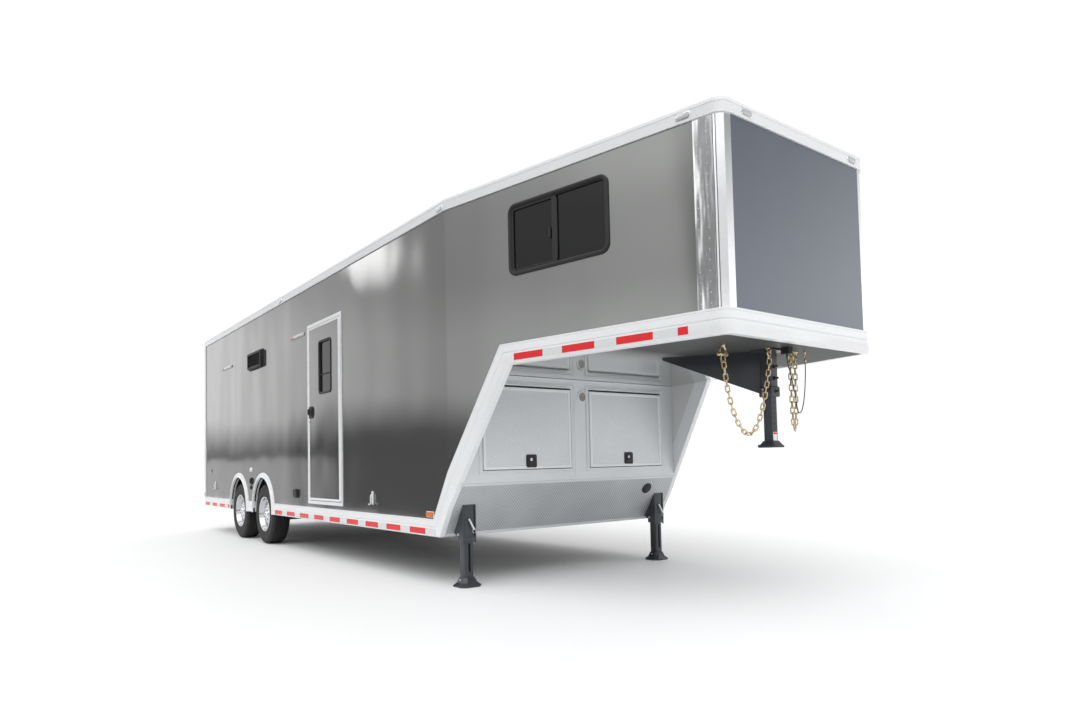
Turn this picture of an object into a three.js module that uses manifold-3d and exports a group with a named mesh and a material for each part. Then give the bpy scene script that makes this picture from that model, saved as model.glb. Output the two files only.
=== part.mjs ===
// Enclosed gooseneck trailer, parked on its wheels and its two front jacks.
// Millimetres, +X towards the nose, +Y to the left, +Z up, standing on z = 0.
// Stations along the trailer are measured from the seam where the sides start to taper,
// and the finished group is moved so that the origin is under the middle of the trailer.
import * as THREE from "three";
import { mergeVertices } from "three/addons/utils/BufferGeometryUtils.js";
import Module from "manifold-3d";

const wasm = await Module();
wasm.setup();

// ---- driving dimensions ----
const fit = 0.3; // gap between fixed neighbours
const swing = 6; // gap round a moving leaf

const bodyWidth = 2590; // over the side skins
const boxLength = 7990; // seam to rear face
const noseLength = 2402; // seam to nose face
const noseWidth = 1614; // where the tapered sides meet the nose face
const cornerRadius = 80;
const cornerStart = 2210; // station where the polished corner begins
const nosePanelHalf = 725; // half width of the flat nose panel
const wall = 40; // whole side wall: skin, post and lining

const roofTop = 3159;
const roofTrimHeight = 102;
const roofTrimInset = 60;
const roofSheet = 40;
const trimProud = 10; // how far rails and roof trim stand out of the skins
const railBottom = 401; // underside of the lower body rails
const sillHeight = 145;
const neckBottom = 1725; // underside of the raised nose floor
const neckRailHeight = 160;
const slopeFoot = -149; // station where the sloped rail starts
const slopeHead = 676; // station where it meets the neck rail
const slopeRailWidth = 160;

const panelTop = 836; // where the sloped front panel meets the upright bulkhead
const bulkhead = 40;
const floorTop = 590;
const floorThickness = 44;
const neckFloor = 60;

const wheelStations = [-5950, -4825];
const tyreRadius = 391;
const tyreWidth = 234;
const rimRadius = 214;
const rimLip = 228;
const wheelInset = 123; // middle of the tyre from the side skin
const archHalf = 415; // half width of a wheel opening
const archTop = 872;
const archTrim = 65;
const archProud = 30;
const archSteps = 16;
const wheelBoxDepth = 275;
const wheelBoxSheet = 12;

const railGap = 50; // frame rail to wheel box
const railWidth = 60;
const crossSpacing = 610;
const crossInset = 2; // the end members from the rails' ends, and each one's top from theirs
const crossRise = 40; // members' undersides above the rails'
const axleTube = 95;
const axleLead = 150; // torsion tube ahead of the wheel centre
const armThickness = 40;
const spindle = 30;
const drumRadius = 150;
const hubFace = 60; // inboard face of hub and drum, from the wheel plane

const rearFrameDepth = 80;
const rearPost = 150;
const rearSill = 165;
const rearHeader = 160;
const rampThickness = 50;

const entryCentre = -2639;
const entryWidth = 990;
const entryBottom = 584;
const entryTop = 2622;
const entryBorder = 37;
const entryProud = 8;
const entryLeaf = 40;
const entryWindow = { width: 356, height: 598, fromFront: 228, bottom: 1797, radius: 45 };

const neckWindow = { middle: 1168, bottom: 2376, width: 914, height: 540, radius: 70 };
const windowRim = 26;
const windowProud = 14;
const glassThickness = 6;

const hatch = { near: 77, fromSkin: 215, bottom: 905, height: 770, border: 30, leaf: 30,
  proud: 6 };
const hatchHeadGap = 16; // room for the top edge to swing inwards

const jackStation = -39;
const jackInset = 181; // middle of the leg from the side skin
const jackTube = 100;
const jackBottom = 90;
const jackTop = 1150;
const footSize = 200;
const footThickness = 30;

const couplerStation = 2105;
const couplerSleeve = 84;
const couplerTube = 66;
const sleeveBottom = 1405;
const couplerBase = 1060;
const baseThickness = 40;
const baseSize = 130;
const gussetTip = { back: 625, side: 375, height: 35 };
const gussetPlate = 12;
const chainWire = 24;

// ---- helpers ----
const tau = Math.atan2((bodyWidth - noseWidth) / 2, noseLength);
const half = bodyWidth / 2;
const wheelPlane = half - wheelInset;
const jackSide = half - jackInset;
const far = 20000;
const materials = {
  skin: [0x5a5c5c, 0.25, 0.6],
  nosePanel: [0x4b5158, 0.35, 0.4],
  mirror: [0xdadde0, 0.08, 1],
  trim: [0xe8eaec, 0.35, 0.3],
  white: [0xdfe3e8, 0.4, 0.1],
  roof: [0xe6e7e8, 0.5, 0],
  floor: [0x8f8a80, 0.7, 0],
  underside: [0xa8aaa9, 0.25, 0.3],
  frame: [0x1c1d1f, 0.5, 0.4],
  black: [0x141517, 0.5, 0.1],
  glass: [0x202428, 0.05, 0],
  tyre: [0x1a1b1c, 0.85, 0],
  alloy: [0xd0d2d4, 0.25, 0.9],
  zinc: [0xb79b5c, 0.4, 0.8],
};
for (const [name, [color, roughness, metalness]] of Object.entries(materials))
  materials[name] = new THREE.MeshStandardMaterial({ name, color, roughness, metalness });

const trailer = new THREE.Group();

// A closed geometry as a solid that can be joined and cut.
function solid(geometry) {
  const bare = geometry.index ? geometry.toNonIndexed() : geometry.clone();
  for (const name of ["normal", "uv"]) bare.deleteAttribute(name);
  const merged = mergeVertices(bare, 1e-4);
  return new wasm.Manifold(new wasm.Mesh({
    numProp: 3,
    vertProperties: new Float32Array(merged.attributes.position.array),
    triVerts: new Uint32Array(merged.index.array),
  }));
}

function geometryOf(manifold) {
  const mesh = manifold.getMesh();
  const geometry = new THREE.BufferGeometry();
  geometry.setAttribute("position", new THREE.BufferAttribute(mesh.vertProperties, 3));
  geometry.setIndex(new THREE.BufferAttribute(mesh.triVerts, 1));
  geometry.computeVertexNormals();
  return geometry;
}

function put(name, shape, material, parent = trailer) {
  const geometry = shape.isBufferGeometry ? shape : geometryOf(shape);
  const mesh = new THREE.Mesh(geometry, materials[material]);
  mesh.name = name;
  parent.add(mesh);
  return mesh;
}

const join = (...shapes) => shapes.reduce((sum, shape) => sum.add(shape));

function box(x, y, z) {
  const geometry = new THREE.BoxGeometry(x[1] - x[0], y[1] - y[0], z[1] - z[0]);
  return solid(geometry.translate((x[0] + x[1]) / 2, (y[0] + y[1]) / 2, (z[0] + z[1]) / 2));
}

// An outline pushed from one level to another along the named axis.
// The outline's two numbers are (x, y) along z, (x, z) along y and (y, z) along x.
function prism(points, axis, from, to) {
  const shape = Array.isArray(points)
    ? new THREE.Shape(points.map(([a, b]) => new THREE.Vector2(a, b))) : points;
  const geometry = new THREE.ExtrudeGeometry(shape, {
    depth: to - from, bevelEnabled: false, curveSegments: 5,
  });
  geometry.translate(0, 0, from);
  if (axis === "y") geometry.rotateX(Math.PI / 2).scale(1, -1, 1);
  if (axis === "x") geometry.applyMatrix4(new THREE.Matrix4().set(
    0, 0, 1, 0, 1, 0, 0, 0, 0, 1, 0, 0, 0, 0, 0, 1));
  if (axis === "y") turnFaces(geometry);
  return solid(geometry);
}

function turnFaces(geometry) {
  const position = geometry.attributes.position;
  for (let i = 0; i < position.count; i += 3) {
    const a = new THREE.Vector3().fromBufferAttribute(position, i + 1);
    const b = new THREE.Vector3().fromBufferAttribute(position, i + 2);
    position.setXYZ(i + 1, b.x, b.y, b.z);
    position.setXYZ(i + 2, a.x, a.y, a.z);
  }
}

function cylinder(radius, axis, centre, from, to, sides = 16) {
  const geometry = new THREE.CylinderGeometry(radius, radius, to - from, sides);
  geometry.translate(0, (from + to) / 2, 0);
  if (axis === "x") geometry.rotateZ(-Math.PI / 2).translate(0, centre[0], centre[1]);
  if (axis === "y") geometry.translate(centre[0], 0, centre[1]);
  if (axis === "z") geometry.rotateX(Math.PI / 2).translate(centre[0], centre[1], 0);
  return solid(geometry);
}

// A rectangle with round corners, its lower left corner at (x, y).
function roundRectangle(x, y, width, height, radius) {
  const shape = new THREE.Shape();
  shape.moveTo(x + radius, y);
  shape.absarc(x + width - radius, y + radius, radius, -Math.PI / 2, 0, false);
  shape.absarc(x + width - radius, y + height - radius, radius, 0, Math.PI / 2, false);
  shape.absarc(x + radius, y + height - radius, radius, Math.PI / 2, Math.PI, false);
  shape.absarc(x + radius, y + radius, radius, Math.PI, 1.5 * Math.PI, false);
  return shape;
}

// ---- the trailer's plan and side outlines ----
// The plan outline moved outwards by out, with its rear edge at station rear.
function plan(out, rear) {
  const right = [[rear, -half - out], [out * Math.tan(tau / 2), -half - out]];
  const cx = noseLength - cornerRadius;
  const cy = -half + (cx * Math.sin(tau) + cornerRadius) / Math.cos(tau);
  const steps = 8;
  for (let i = 0; i <= steps; i++) {
    const angle = (tau - Math.PI / 2) * (1 - i / steps);
    const reach = cornerRadius + out;
    right.push([cx + reach * Math.cos(angle), cy + reach * Math.sin(angle)]);
  }
  return [...right, ...right.map(([x, y]) => [x, -y]).reverse()];
}

const planSolid = (out, rear, z0, z1) => prism(plan(out, rear), "z", z0, z1);

function shell(out, inset, z0, z1, rear = -boxLength) {
  return planSolid(out, rear, z0, z1).subtract(planSolid(-inset, rear - 1000, z0 - 1, z1 + 1));
}

const slopeRun = (slopeHead - slopeFoot) / (neckBottom - railBottom);
const slopeSlant = Math.hypot(1, slopeRun);
// Station of the sloped edge at height z, moved inwards by inset square to the slope.
const slopeAt = (z, inset = 0) => slopeFoot + (z - railBottom) * slopeRun - inset * slopeSlant;

// What lies behind the slope line and above the neck line, each moved inwards.
function profile(slopeInset, bottom, neckLine) {
  return prism([
    [-far, bottom], [slopeAt(bottom, slopeInset), bottom],
    [slopeAt(neckLine, slopeInset), neckLine], [far, neckLine], [far, far], [-far, far],
  ], "y", -far, far);
}

const rightHalf = box([-far, far], [-far, 0], [-far, far]);
const behindSeam = box([-far, -fit / 2], [-far, far], [-far, far]);
const aheadOfSeam = box([fit / 2, far], [-far, far], [-far, far]);
const trimBottom = roofTop - roofTrimHeight;
const sillTop = railBottom + sillHeight;
const rearInside = -boxLength + rearFrameDepth;
const roomHalf = half - wall - fit; // half width that fits between the side walls

const left = new THREE.Group();
left.scale.y = -1;
trailer.add(left);
const bothSides = [["right", trailer], ["left", left]];

// ---- side walls ----
const wallBand = shell(0, wall, sillTop + fit, trimBottom - fit)
  .intersect(profile(slopeRailWidth + fit, sillTop + fit, neckBottom + neckRailHeight + fit))
  .intersect(rightHalf);

function archOpening(station, grow, y0, y1) {
  const radius = archHalf + grow;
  const middle = archTop - archHalf;
  const outline = [[station - radius, 0], [station + radius, 0]];
  for (let i = 0; i <= archSteps; i++) {
    const angle = Math.PI * i / archSteps;
    outline.push([station + radius * Math.cos(angle), middle + radius * Math.sin(angle)]);
  }
  return prism(outline, "y", y0, y1);
}

const sideY = [-half - 200, -half + 200];
const arches = join(...wheelStations.map((x) => archOpening(x, 0, ...sideY)));
const entryX = [entryCentre - entryWidth / 2, entryCentre + entryWidth / 2];
const entryHole = box([entryX[0] - fit, entryX[1] + fit], sideY,
  [entryBottom - fit, entryTop + fit]);

const plainSide = wallBand.intersect(behindSeam).subtract(arches)
  .subtract(box([-far, rearInside + fit], sideY, [-far, far]));
put("right_side_wall", plainSide.subtract(entryHole), "skin");
put("left_side_wall", plainSide, "skin", left);

// Windows are drawn in the plane of the tapered wall, then turned into place.
function onTaper(shape, y0, y1) {
  const geometry = geometryOf(prism(shape, "y", y0, y1));
  return solid(geometry.rotateZ(tau).translate(0, -half, 0));
}
const windowShape = (grow) => roundRectangle(
  neckWindow.middle - neckWindow.width / 2 - grow, neckWindow.bottom - grow,
  neckWindow.width + 2 * grow, neckWindow.height + 2 * grow, neckWindow.radius + grow);
const taperWall = wallBand.intersect(aheadOfSeam)
  .intersect(box([-far, cornerStart - fit], [-far, far], [-far, far]))
  .subtract(onTaper(windowShape(-windowRim + fit), -100, 100));
const windowFrame = onTaper(windowShape(0), -windowProud, -fit)
  .add(onTaper(windowShape(-windowRim), -fit - 1, wall))
  .subtract(onTaper(windowShape(-windowRim - 8), -100, 100));
const windowPane = onTaper(windowShape(-windowRim - 8 - fit), 10, 10 + glassThickness);
for (const [side, parent] of bothSides) {
  put(side + "_nose_wall", taperWall, "skin", parent);
  put(side + "_window_frame", windowFrame, "black", parent);
  put(side + "_window_glass", windowPane, "glass", parent);
}

// ---- nose ----
const noseBand = shell(0, wall, neckBottom + neckRailHeight + fit, trimBottom - fit);
const aheadOfCorner = box([cornerStart, far], [-far, far], [-far, far]);
const panelZone = box([0, far], [-nosePanelHalf, nosePanelHalf], [-far, far]);
const panelGap = box([0, far], [-nosePanelHalf - fit, nosePanelHalf + fit], [-far, far]);
put("nose_panel", noseBand.intersect(aheadOfCorner).intersect(panelZone), "nosePanel");
const noseCorner = noseBand.intersect(aheadOfCorner).intersect(rightHalf).subtract(panelGap);
for (const [side, parent] of bothSides) put(side + "_nose_corner", noseCorner, "mirror", parent);

// ---- rails and trims ----
const railShell = shell(trimProud, wall, railBottom, neckBottom + neckRailHeight);
const outerProfile = profile(0, railBottom, neckBottom);
const sillEnd = slopeAt(sillTop, slopeRailWidth);
const sillRun = railShell.intersect(rightHalf)
  .intersect(box([rearInside + fit, slopeAt(sillTop) + far], [-far, far], [railBottom, sillTop]))
  .intersect(profile(0, railBottom, neckBottom))
  .intersect(box([-far, sillEnd - fit], [-far, far], [-far, far]));
const archRings = wheelStations.map((x) =>
  archOpening(x, archTrim, -half - archProud, -half - fit)
    .intersect(box([-far, far], [-far, far], [railBottom, far])));
const sideSill = join(sillRun, ...archRings).subtract(arches);

const slopeZone = outerProfile
  .intersect(box([sillEnd, far], [-far, far], [railBottom, neckBottom + neckRailHeight]))
  .subtract(profile(slopeRailWidth, sillTop, neckBottom + neckRailHeight));
const neckJoint = slopeAt(neckBottom); // the neck rail starts on this upright joint
const slopeRail = railShell.intersect(rightHalf).intersect(slopeZone)
  .intersect(box([-far, neckJoint - fit], [-far, far], [-far, far]));
const neckRail = railShell.intersect(slopeZone)
  .intersect(box([neckJoint, far], [-far, far], [-far, far]));
for (const [side, parent] of bothSides) {
  put(side + "_side_sill", sideSill, "trim", parent);
  put(side + "_slope_rail", slopeRail, "trim", parent);
}
put("neck_rail", neckRail, "trim");

// The roof trim steps in towards the top.
const trimSteps = [
  [trimProud, trimBottom, roofTop - 34],
  [trimProud - 4, roofTop - 34, roofTop - 14],
  [trimProud - 14, roofTop - 14, roofTop],
];
const roofTrim = join(...trimSteps.map(([out, z0, z1]) =>
  planSolid(out, -boxLength - out, z0, z1 + 0.01)))
  .subtract(planSolid(-roofTrimInset, -boxLength + roofTrimInset, 0, far))
  .intersect(box([-far, far], [-far, far], [0, roofTop]));
put("roof_trim", roofTrim, "trim");
put("roof_panel", planSolid(-roofTrimInset - fit, -boxLength + roofTrimInset + fit,
  roofTop - 8 - roofSheet, roofTop - 8), "roof");

// ---- floors and bulkhead ----
const boxX = [wheelStations[0] - archHalf - 25, wheelStations[1] + archHalf + 25];
const boxInner = half - wall - wheelBoxDepth;
const wheelBoxZone = join(...[-1, 1].map((side) => box([boxX[0] - fit, boxX[1] + fit],
  side < 0 ? [-far, -boxInner + fit] : [boxInner - fit, far], [-far, far])));
const floorFront = slopeAt(floorTop - floorThickness, wall) - fit;
put("load_floor", box([rearInside + fit, floorFront], [-roomHalf, roomHalf],
  [floorTop - floorThickness, floorTop]).subtract(wheelBoxZone), "floor");

const inside = planSolid(-wall - fit, -boxLength, 0, far);
const bulkheadFace = slopeAt(panelTop);
const jackHoles = join(...[-1, 1].map((side) => {
  const reach = jackTube / 2 + fit;
  return box([jackStation - reach, jackStation + reach],
    [side * jackSide - reach, side * jackSide + reach], [0, panelTop - 20]);
}));
put("lower_front_panel", prism([
  [slopeAt(railBottom), railBottom], [bulkheadFace, panelTop],
  [bulkheadFace - bulkhead, panelTop], [slopeAt(railBottom, wall), railBottom],
], "y", -far, far).intersect(inside).subtract(jackHoles), "underside");

// One side's hatch outline, grown by grow, or at its bottom and top by sizes of their own.
function hatchBox(side, grow, x, bottomGrow = grow, topGrow = grow) {
  const y = [side * (hatch.near - grow), side * (half - hatch.fromSkin + grow)];
  return box(x, y.sort((a, b) => a - b),
    [hatch.bottom - bottomGrow, hatch.bottom + hatch.height + topGrow]);
}
const hatchFaceX = bulkheadFace + hatch.proud;
const hatchRims = [-1, 1].map((side) =>
  hatchBox(side, 0, [bulkheadFace - bulkhead, hatchFaceX]));
const hatchHoles = [-1, 1].map((side) => hatchBox(side, -hatch.border, [0, far]));
put("front_bulkhead", join(box([bulkheadFace - bulkhead, bulkheadFace], [-far, far],
  [panelTop + fit, neckBottom - fit]).intersect(inside), ...hatchRims)
  .subtract(join(...hatchHoles)), "white");
const leafGrow = -hatch.border - swing;
const hatchLeaf = hatchBox(-1, leafGrow, [hatchFaceX - hatch.leaf, hatchFaceX],
  leafGrow, -hatch.border - hatchHeadGap);
for (const [side, parent] of bothSides) put(side + "_hatch_door", hatchLeaf, "white", parent);
put("neck_floor", planSolid(-wall - fit, -boxLength, neckBottom, neckBottom + neckFloor)
  .intersect(box([bulkheadFace - bulkhead, far], [-far, far], [-far, far])), "underside");

// ---- chassis ----
const chassisX = [rearInside + fit, slopeAt(railBottom, wall) - fit];
const chassisZ = [railBottom + 4, floorTop - floorThickness - fit];
const mainRail = boxInner - railGap - railWidth / 2;
const frameRails = [-1, 1].map((side) => box(chassisX,
  [side * mainRail - railWidth / 2, side * mainRail + railWidth / 2], chassisZ));
const crossRun = chassisX[1] - chassisX[0] - railWidth - 2 * crossInset;
const crossCount = Math.floor((chassisX[1] - chassisX[0]) / crossSpacing);
const crossStep = crossRun / crossCount;
for (let i = 0; i <= crossCount; i++) {
  const x = chassisX[0] + crossInset + i * crossStep;
  const nearWheels = x > boxX[0] - 2 * railWidth && x < boxX[1] + railWidth;
  const reach = nearWheels ? mainRail : roomHalf - 2;
  frameRails.push(box([x, x + railWidth], [-reach, reach],
    [chassisZ[0] + crossRise, chassisZ[1] - crossInset]));
}
put("chassis_frame", join(...frameRails), "frame");

const wheelBox = box(boxX, [-half + wall + fit, -boxInner], [chassisZ[0], archTop + 40])
  .subtract(box([boxX[0] + wheelBoxSheet, boxX[1] - wheelBoxSheet],
    [-far, -boxInner - wheelBoxSheet], [-far, archTop + 40 - wheelBoxSheet]));
for (const [side, parent] of bothSides) put(side + "_wheel_box", wheelBox, "frame", parent);

// ---- axles and wheels ----
function axle(station) {
  const tubeX = [station + axleLead - axleTube / 2, station + axleLead + axleTube / 2];
  const tubeTop = chassisZ[0] - fit;
  const armFrom = wheelPlane - tyreWidth / 2 - 15 - armThickness;
  const pieces = [box(tubeX, [-armFrom - 2, armFrom + 2], [tubeTop - axleTube, tubeTop])];
  for (const side of [-1, 1]) {
    const low = side < 0 ? -armFrom - armThickness : armFrom;
    const tubeMid = tubeTop - axleTube / 2;
    pieces.push(prism([
      [station - 45, tyreRadius - 30], [station + axleLead + 45, tubeMid - 42],
      [station + axleLead + 45, tubeMid + 42], [station - 45, tyreRadius + 30],
    ], "y", low, low + armThickness));
    const plateFace = wheelPlane - hubFace - swing;
    const span = (from, to) => [side * from, side * to].sort((a, b) => a - b);
    pieces.push(cylinder(spindle, "y", [station, tyreRadius], ...span(armFrom + 10, plateFace)));
    pieces.push(cylinder(drumRadius - 8, "y", [station, tyreRadius],
      ...span(plateFace - 6, plateFace)));
  }
  return join(...pieces);
}

// Turned about y, with a flat of the faceted rim straight down.
function lathe(points, segments) {
  const turned = points.map(([r, y]) => new THREE.Vector2(r, y));
  return new THREE.LatheGeometry(turned, segments).rotateY(Math.PI / segments);
}

const w = tyreWidth / 2;
const tyreSides = 32;
const tread = tyreRadius / Math.cos(Math.PI / tyreSides); // the flats stand on the ground
const bulge = (rimRadius + tread) / 2;
const tyreProfile = [
  [rimRadius, 22 - w], [bulge, -w], [tread - 24, 6 - w], [tread, 26 - w],
  [tread, w - 26], [tread - 24, w - 6], [bulge, w], [rimRadius, w - 22], [rimRadius, 22 - w],
];
const barrel = rimRadius * Math.cos(Math.PI / tyreSides) - fit;
const rimInside = rimRadius - 11;
const wheelProfile = [
  [0, -hubFace], [drumRadius, -hubFace], [drumRadius, 12], [rimInside, 20], [rimInside, 6 - w],
  [rimLip, 6 - w], [rimLip, 14 - w], [barrel, 21 - w], [barrel, w - 21], [rimLip, w - 14],
  [rimLip, w - 6], [205, w - 6], [196, 50], [72, 44], [62, 80], [0, 80],
];
const wheelNames = ["rear", "front"];
wheelStations.forEach((station, i) => {
  put(wheelNames[i] + "_axle", axle(station), "frame");
  for (const [side, parent] of bothSides) {
    const at = new THREE.Group();
    at.position.set(station, -wheelPlane, tyreRadius);
    at.rotation.x = Math.PI; // turns the outboard side of the profile to the outside
    parent.add(at);
    put(side + "_" + wheelNames[i] + "_tyre", lathe(tyreProfile, tyreSides), "tyre", at);
    put(side + "_" + wheelNames[i] + "_wheel", lathe(wheelProfile, 24), "alloy", at);
  }
});

// ---- rear frame and ramp door ----
const rampY = half - rearPost;
const rampZ = [railBottom + rearSill, trimBottom - rearHeader];
put("rear_frame", box([-boxLength, rearInside], [-half - trimProud, half + trimProud],
  [railBottom, trimBottom - fit])
  .subtract(box([-far, 0], [-rampY, rampY], rampZ)), "trim");
put("rear_ramp_door", box([-boxLength, -boxLength + rampThickness],
  [-rampY + swing, rampY - swing], [rampZ[0] + swing, rampZ[1] - swing]), "skin");

// ---- entry door ----
const entryY = [-half - entryProud, -half + wall];
const entryFrame = box(entryX, entryY, [entryBottom, entryTop]).subtract(
  box([entryX[0] + entryBorder, entryX[1] - entryBorder], sideY,
    [entryBottom + entryBorder, entryTop - entryBorder]));
put("entry_door_frame", entryFrame, "trim");
const inset = entryBorder + swing;
const leafX = [entryX[0] + inset, entryX[1] - inset];
const glassX = entryX[1] - inset - entryWindow.fromFront - entryWindow.width;
const entryGlass = (grow) => roundRectangle(glassX - grow, entryWindow.bottom - grow,
  entryWindow.width + 2 * grow, entryWindow.height + 2 * grow, entryWindow.radius + grow);
put("entry_door", box(leafX, [entryY[0], entryY[0] + entryLeaf],
  [entryBottom + inset, entryTop - inset])
  .subtract(prism(entryGlass(-18 + fit), "y", ...sideY)), "skin");
put("entry_window_frame", prism(entryGlass(0), "y", entryY[0] - 8, entryY[0] - fit)
  .add(prism(entryGlass(-18), "y", entryY[0] - fit - 1, entryY[0] + entryLeaf))
  .subtract(prism(entryGlass(-24), "y", ...sideY)), "black");
put("entry_window_glass", prism(entryGlass(-24 - fit), "y", entryY[0] + 14, entryY[0] + 20),
  "glass");

// ---- jacks ----
const jackBody = box([jackStation - jackTube / 2, jackStation + jackTube / 2],
  [-jackSide - jackTube / 2, -jackSide + jackTube / 2], [jackBottom, jackTop]);
function jackFoot() {
  const side = (size) => size / Math.SQRT2;
  const flare = new THREE.CylinderGeometry(side(jackTube + 10), side(footSize),
    jackBottom + 1 - footThickness, 4, 1);
  flare.rotateY(Math.PI / 4).rotateX(Math.PI / 2);
  flare.translate(jackStation, -jackSide, (jackBottom + 1 + footThickness) / 2);
  const plate = box([jackStation - footSize / 2, jackStation + footSize / 2],
    [-jackSide - footSize / 2, -jackSide + footSize / 2], [0, footThickness]);
  return solid(flare).add(plate);
}
for (const [side, parent] of bothSides) put(side + "_jack", jackBody.add(jackFoot()), "frame", parent);

// ---- coupler ----
const square = (size, z0, z1) => box(
  [couplerStation - size / 2, couplerStation + size / 2], [-size / 2, size / 2], [z0, z1]);
const mountTop = neckBottom - fit;
function gusset(side) {
  const run = Math.hypot(gussetTip.back, gussetTip.side);
  const plate = prism([
    [0, sleeveBottom + 20], [0, mountTop], [-run, mountTop], [-run, mountTop - gussetTip.height],
  ], "y", -gussetPlate / 2, gussetPlate / 2);
  const turn = Math.atan2(gussetTip.side, gussetTip.back) * -side;
  return solid(geometryOf(plate).rotateZ(turn).translate(couplerStation, 0, 0));
}
put("coupler_mount", join(square(couplerSleeve, sleeveBottom, mountTop), gusset(1), gusset(-1)),
  "frame");
put("coupler", join(square(couplerTube, couplerBase + baseThickness - 1, sleeveBottom - fit),
  square(baseSize, couplerBase, couplerBase + baseThickness)), "frame");

// ---- safety chains and breakaway cable ----
// Routes are (station, side, drop below the nose floor) points, chosen by hand.
function tube(points, diameter, sides, steps) {
  const curve = new THREE.CatmullRomCurve3(points.map(([x, y, drop]) =>
    new THREE.Vector3(x, y, neckBottom - drop)));
  const section = new THREE.Shape();
  for (let i = 0; i < sides; i++) {
    const angle = 2 * Math.PI * i / sides;
    const x = Math.cos(angle) * diameter / 2, y = Math.sin(angle) * diameter / 2;
    if (i) section.lineTo(x, y); else section.moveTo(x, y);
  }
  return new THREE.ExtrudeGeometry(section, {
    steps, bevelEnabled: false, extrudePath: curve,
  });
}
const nearChain = [
  [2095, -478, 11], [2100, -476, 125], [2108, -450, 305], [2115, -400, 455],
  [2122, -330, 550], [2130, -270, 575], [2140, -205, 525], [2150, -150, 405],
  [2158, -105, 245], [2164, -80, 105], [2166, -76, 11],
];
const farChain = [
  [2150, 190, 11], [2150, 190, 125], [2150, 193, 325], [2150, 203, 485],
  [2150, 218, 547], [2150, 233, 485], [2150, 243, 325], [2150, 246, 125],
  [2150, 246, 11],
];
put("right_safety_chain", tube(nearChain, chainWire, 8, 24), "zinc");
put("left_safety_chain", tube(farChain, chainWire, 8, 20), "zinc");

const cableDiameter = 7;
const switchBox = { x: [2225, 2285], y: [-30, 15], drop: 45 };
put("breakaway_switch", box(switchBox.x, switchBox.y,
  [neckBottom - switchBox.drop, neckBottom - fit]), "black");
const clip = { station: 2202, side: 290, radius: 9, drop: 75 };
const cableRoute = [
  [2255, -8, switchBox.drop + fit], [2255, -8, 70], [2254, 2, 105], [2248, 30, 155],
  [2236, 75, 225], [2220, 125, 305], [2204, 165, 375], [2194, 192, 415],
  [2190, 218, 429], [2190, 244, 413], [2192, 264, 369], [2196, 278, 295],
  [2200, 286, 205], [2202, 290, 125], [2202, 290, 75],
];
put("breakaway_cable", tube(cableRoute, cableDiameter, 8, 40), "black");
put("breakaway_clip", cylinder(clip.radius, "z", [clip.station, clip.side],
  neckBottom - clip.drop + fit, neckBottom - fit, 12), "zinc");

trailer.position.x = (boxLength - noseLength) / 2;

export default trailer;
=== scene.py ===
import math

import bmesh
import bpy
from mathutils import Matrix, Vector


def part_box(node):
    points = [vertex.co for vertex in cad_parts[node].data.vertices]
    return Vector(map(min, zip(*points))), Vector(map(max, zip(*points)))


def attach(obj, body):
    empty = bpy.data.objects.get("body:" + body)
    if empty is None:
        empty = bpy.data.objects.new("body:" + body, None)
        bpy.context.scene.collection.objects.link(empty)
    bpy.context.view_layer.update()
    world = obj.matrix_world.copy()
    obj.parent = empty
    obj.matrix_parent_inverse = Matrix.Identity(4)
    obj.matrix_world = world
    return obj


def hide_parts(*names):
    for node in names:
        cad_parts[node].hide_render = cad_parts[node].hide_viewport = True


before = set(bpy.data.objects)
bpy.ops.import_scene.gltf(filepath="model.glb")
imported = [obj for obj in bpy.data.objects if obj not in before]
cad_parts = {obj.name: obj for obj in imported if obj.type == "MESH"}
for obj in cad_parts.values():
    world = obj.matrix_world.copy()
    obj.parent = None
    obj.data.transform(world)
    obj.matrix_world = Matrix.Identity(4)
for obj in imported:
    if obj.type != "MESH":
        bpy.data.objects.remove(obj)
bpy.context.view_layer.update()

# The body's outline, read off the frame. Stations run along the skin from the seam where
# the sides start to taper, negative towards the rear; "out" is the distance off the skin.
body = {
    "seam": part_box("right_nose_wall")[0].x,
    "half": -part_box("right_side_wall")[0].y,
    "rear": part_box("rear_frame")[0].x,
    "nose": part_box("nose_panel")[1].x,
    "cornerRadius": 0.08,
    "noseHalf": 0.807,  # where the tapered skin would reach the nose face
    "noseFlat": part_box("nose_panel")[1].y,
    "railBottom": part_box("right_side_sill")[0].z,
    "neckBottom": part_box("neck_floor")[0].z,
    "neckTop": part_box("neck_rail")[1].z,
    "trimBottom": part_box("roof_trim")[0].z,
}
seam, half = body["seam"], body["half"]
noseRun = body["nose"] - seam
taper = math.atan2(half - body["noseHalf"], noseRun)
cornerX = noseRun - body["cornerRadius"]
cornerY = -half + (cornerX * math.sin(taper) + body["cornerRadius"]) / math.cos(taper)
arcStart = (cornerX + body["cornerRadius"] * math.sin(taper)) / math.cos(taper)
arcEnd = arcStart + body["cornerRadius"] * (math.pi / 2 - taper)
noseMiddle = arcEnd - cornerY
sides = {"right": -1, "left": 1}


def skinPoint(run, out, height, side=-1):
    # a point off the outer skin, side -1 being the right
    if run < -1e-6:
        x, y = run, -half - out
    elif run < 1e-6:
        x, y = out * math.tan(taper / 2), -half - out
    elif run < arcStart:
        x = run * math.cos(taper) + out * math.sin(taper)
        y = -half + run * math.sin(taper) - out * math.cos(taper)
    elif run < arcEnd:
        angle = taper - math.pi / 2 + (run - arcStart) / body["cornerRadius"]
        x = cornerX + (body["cornerRadius"] + out) * math.cos(angle)
        y = cornerY + (body["cornerRadius"] + out) * math.sin(angle)
    else:
        x, y = noseRun + out, cornerY + run - arcEnd
    return Vector((seam + x, y * -side, height))


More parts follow.
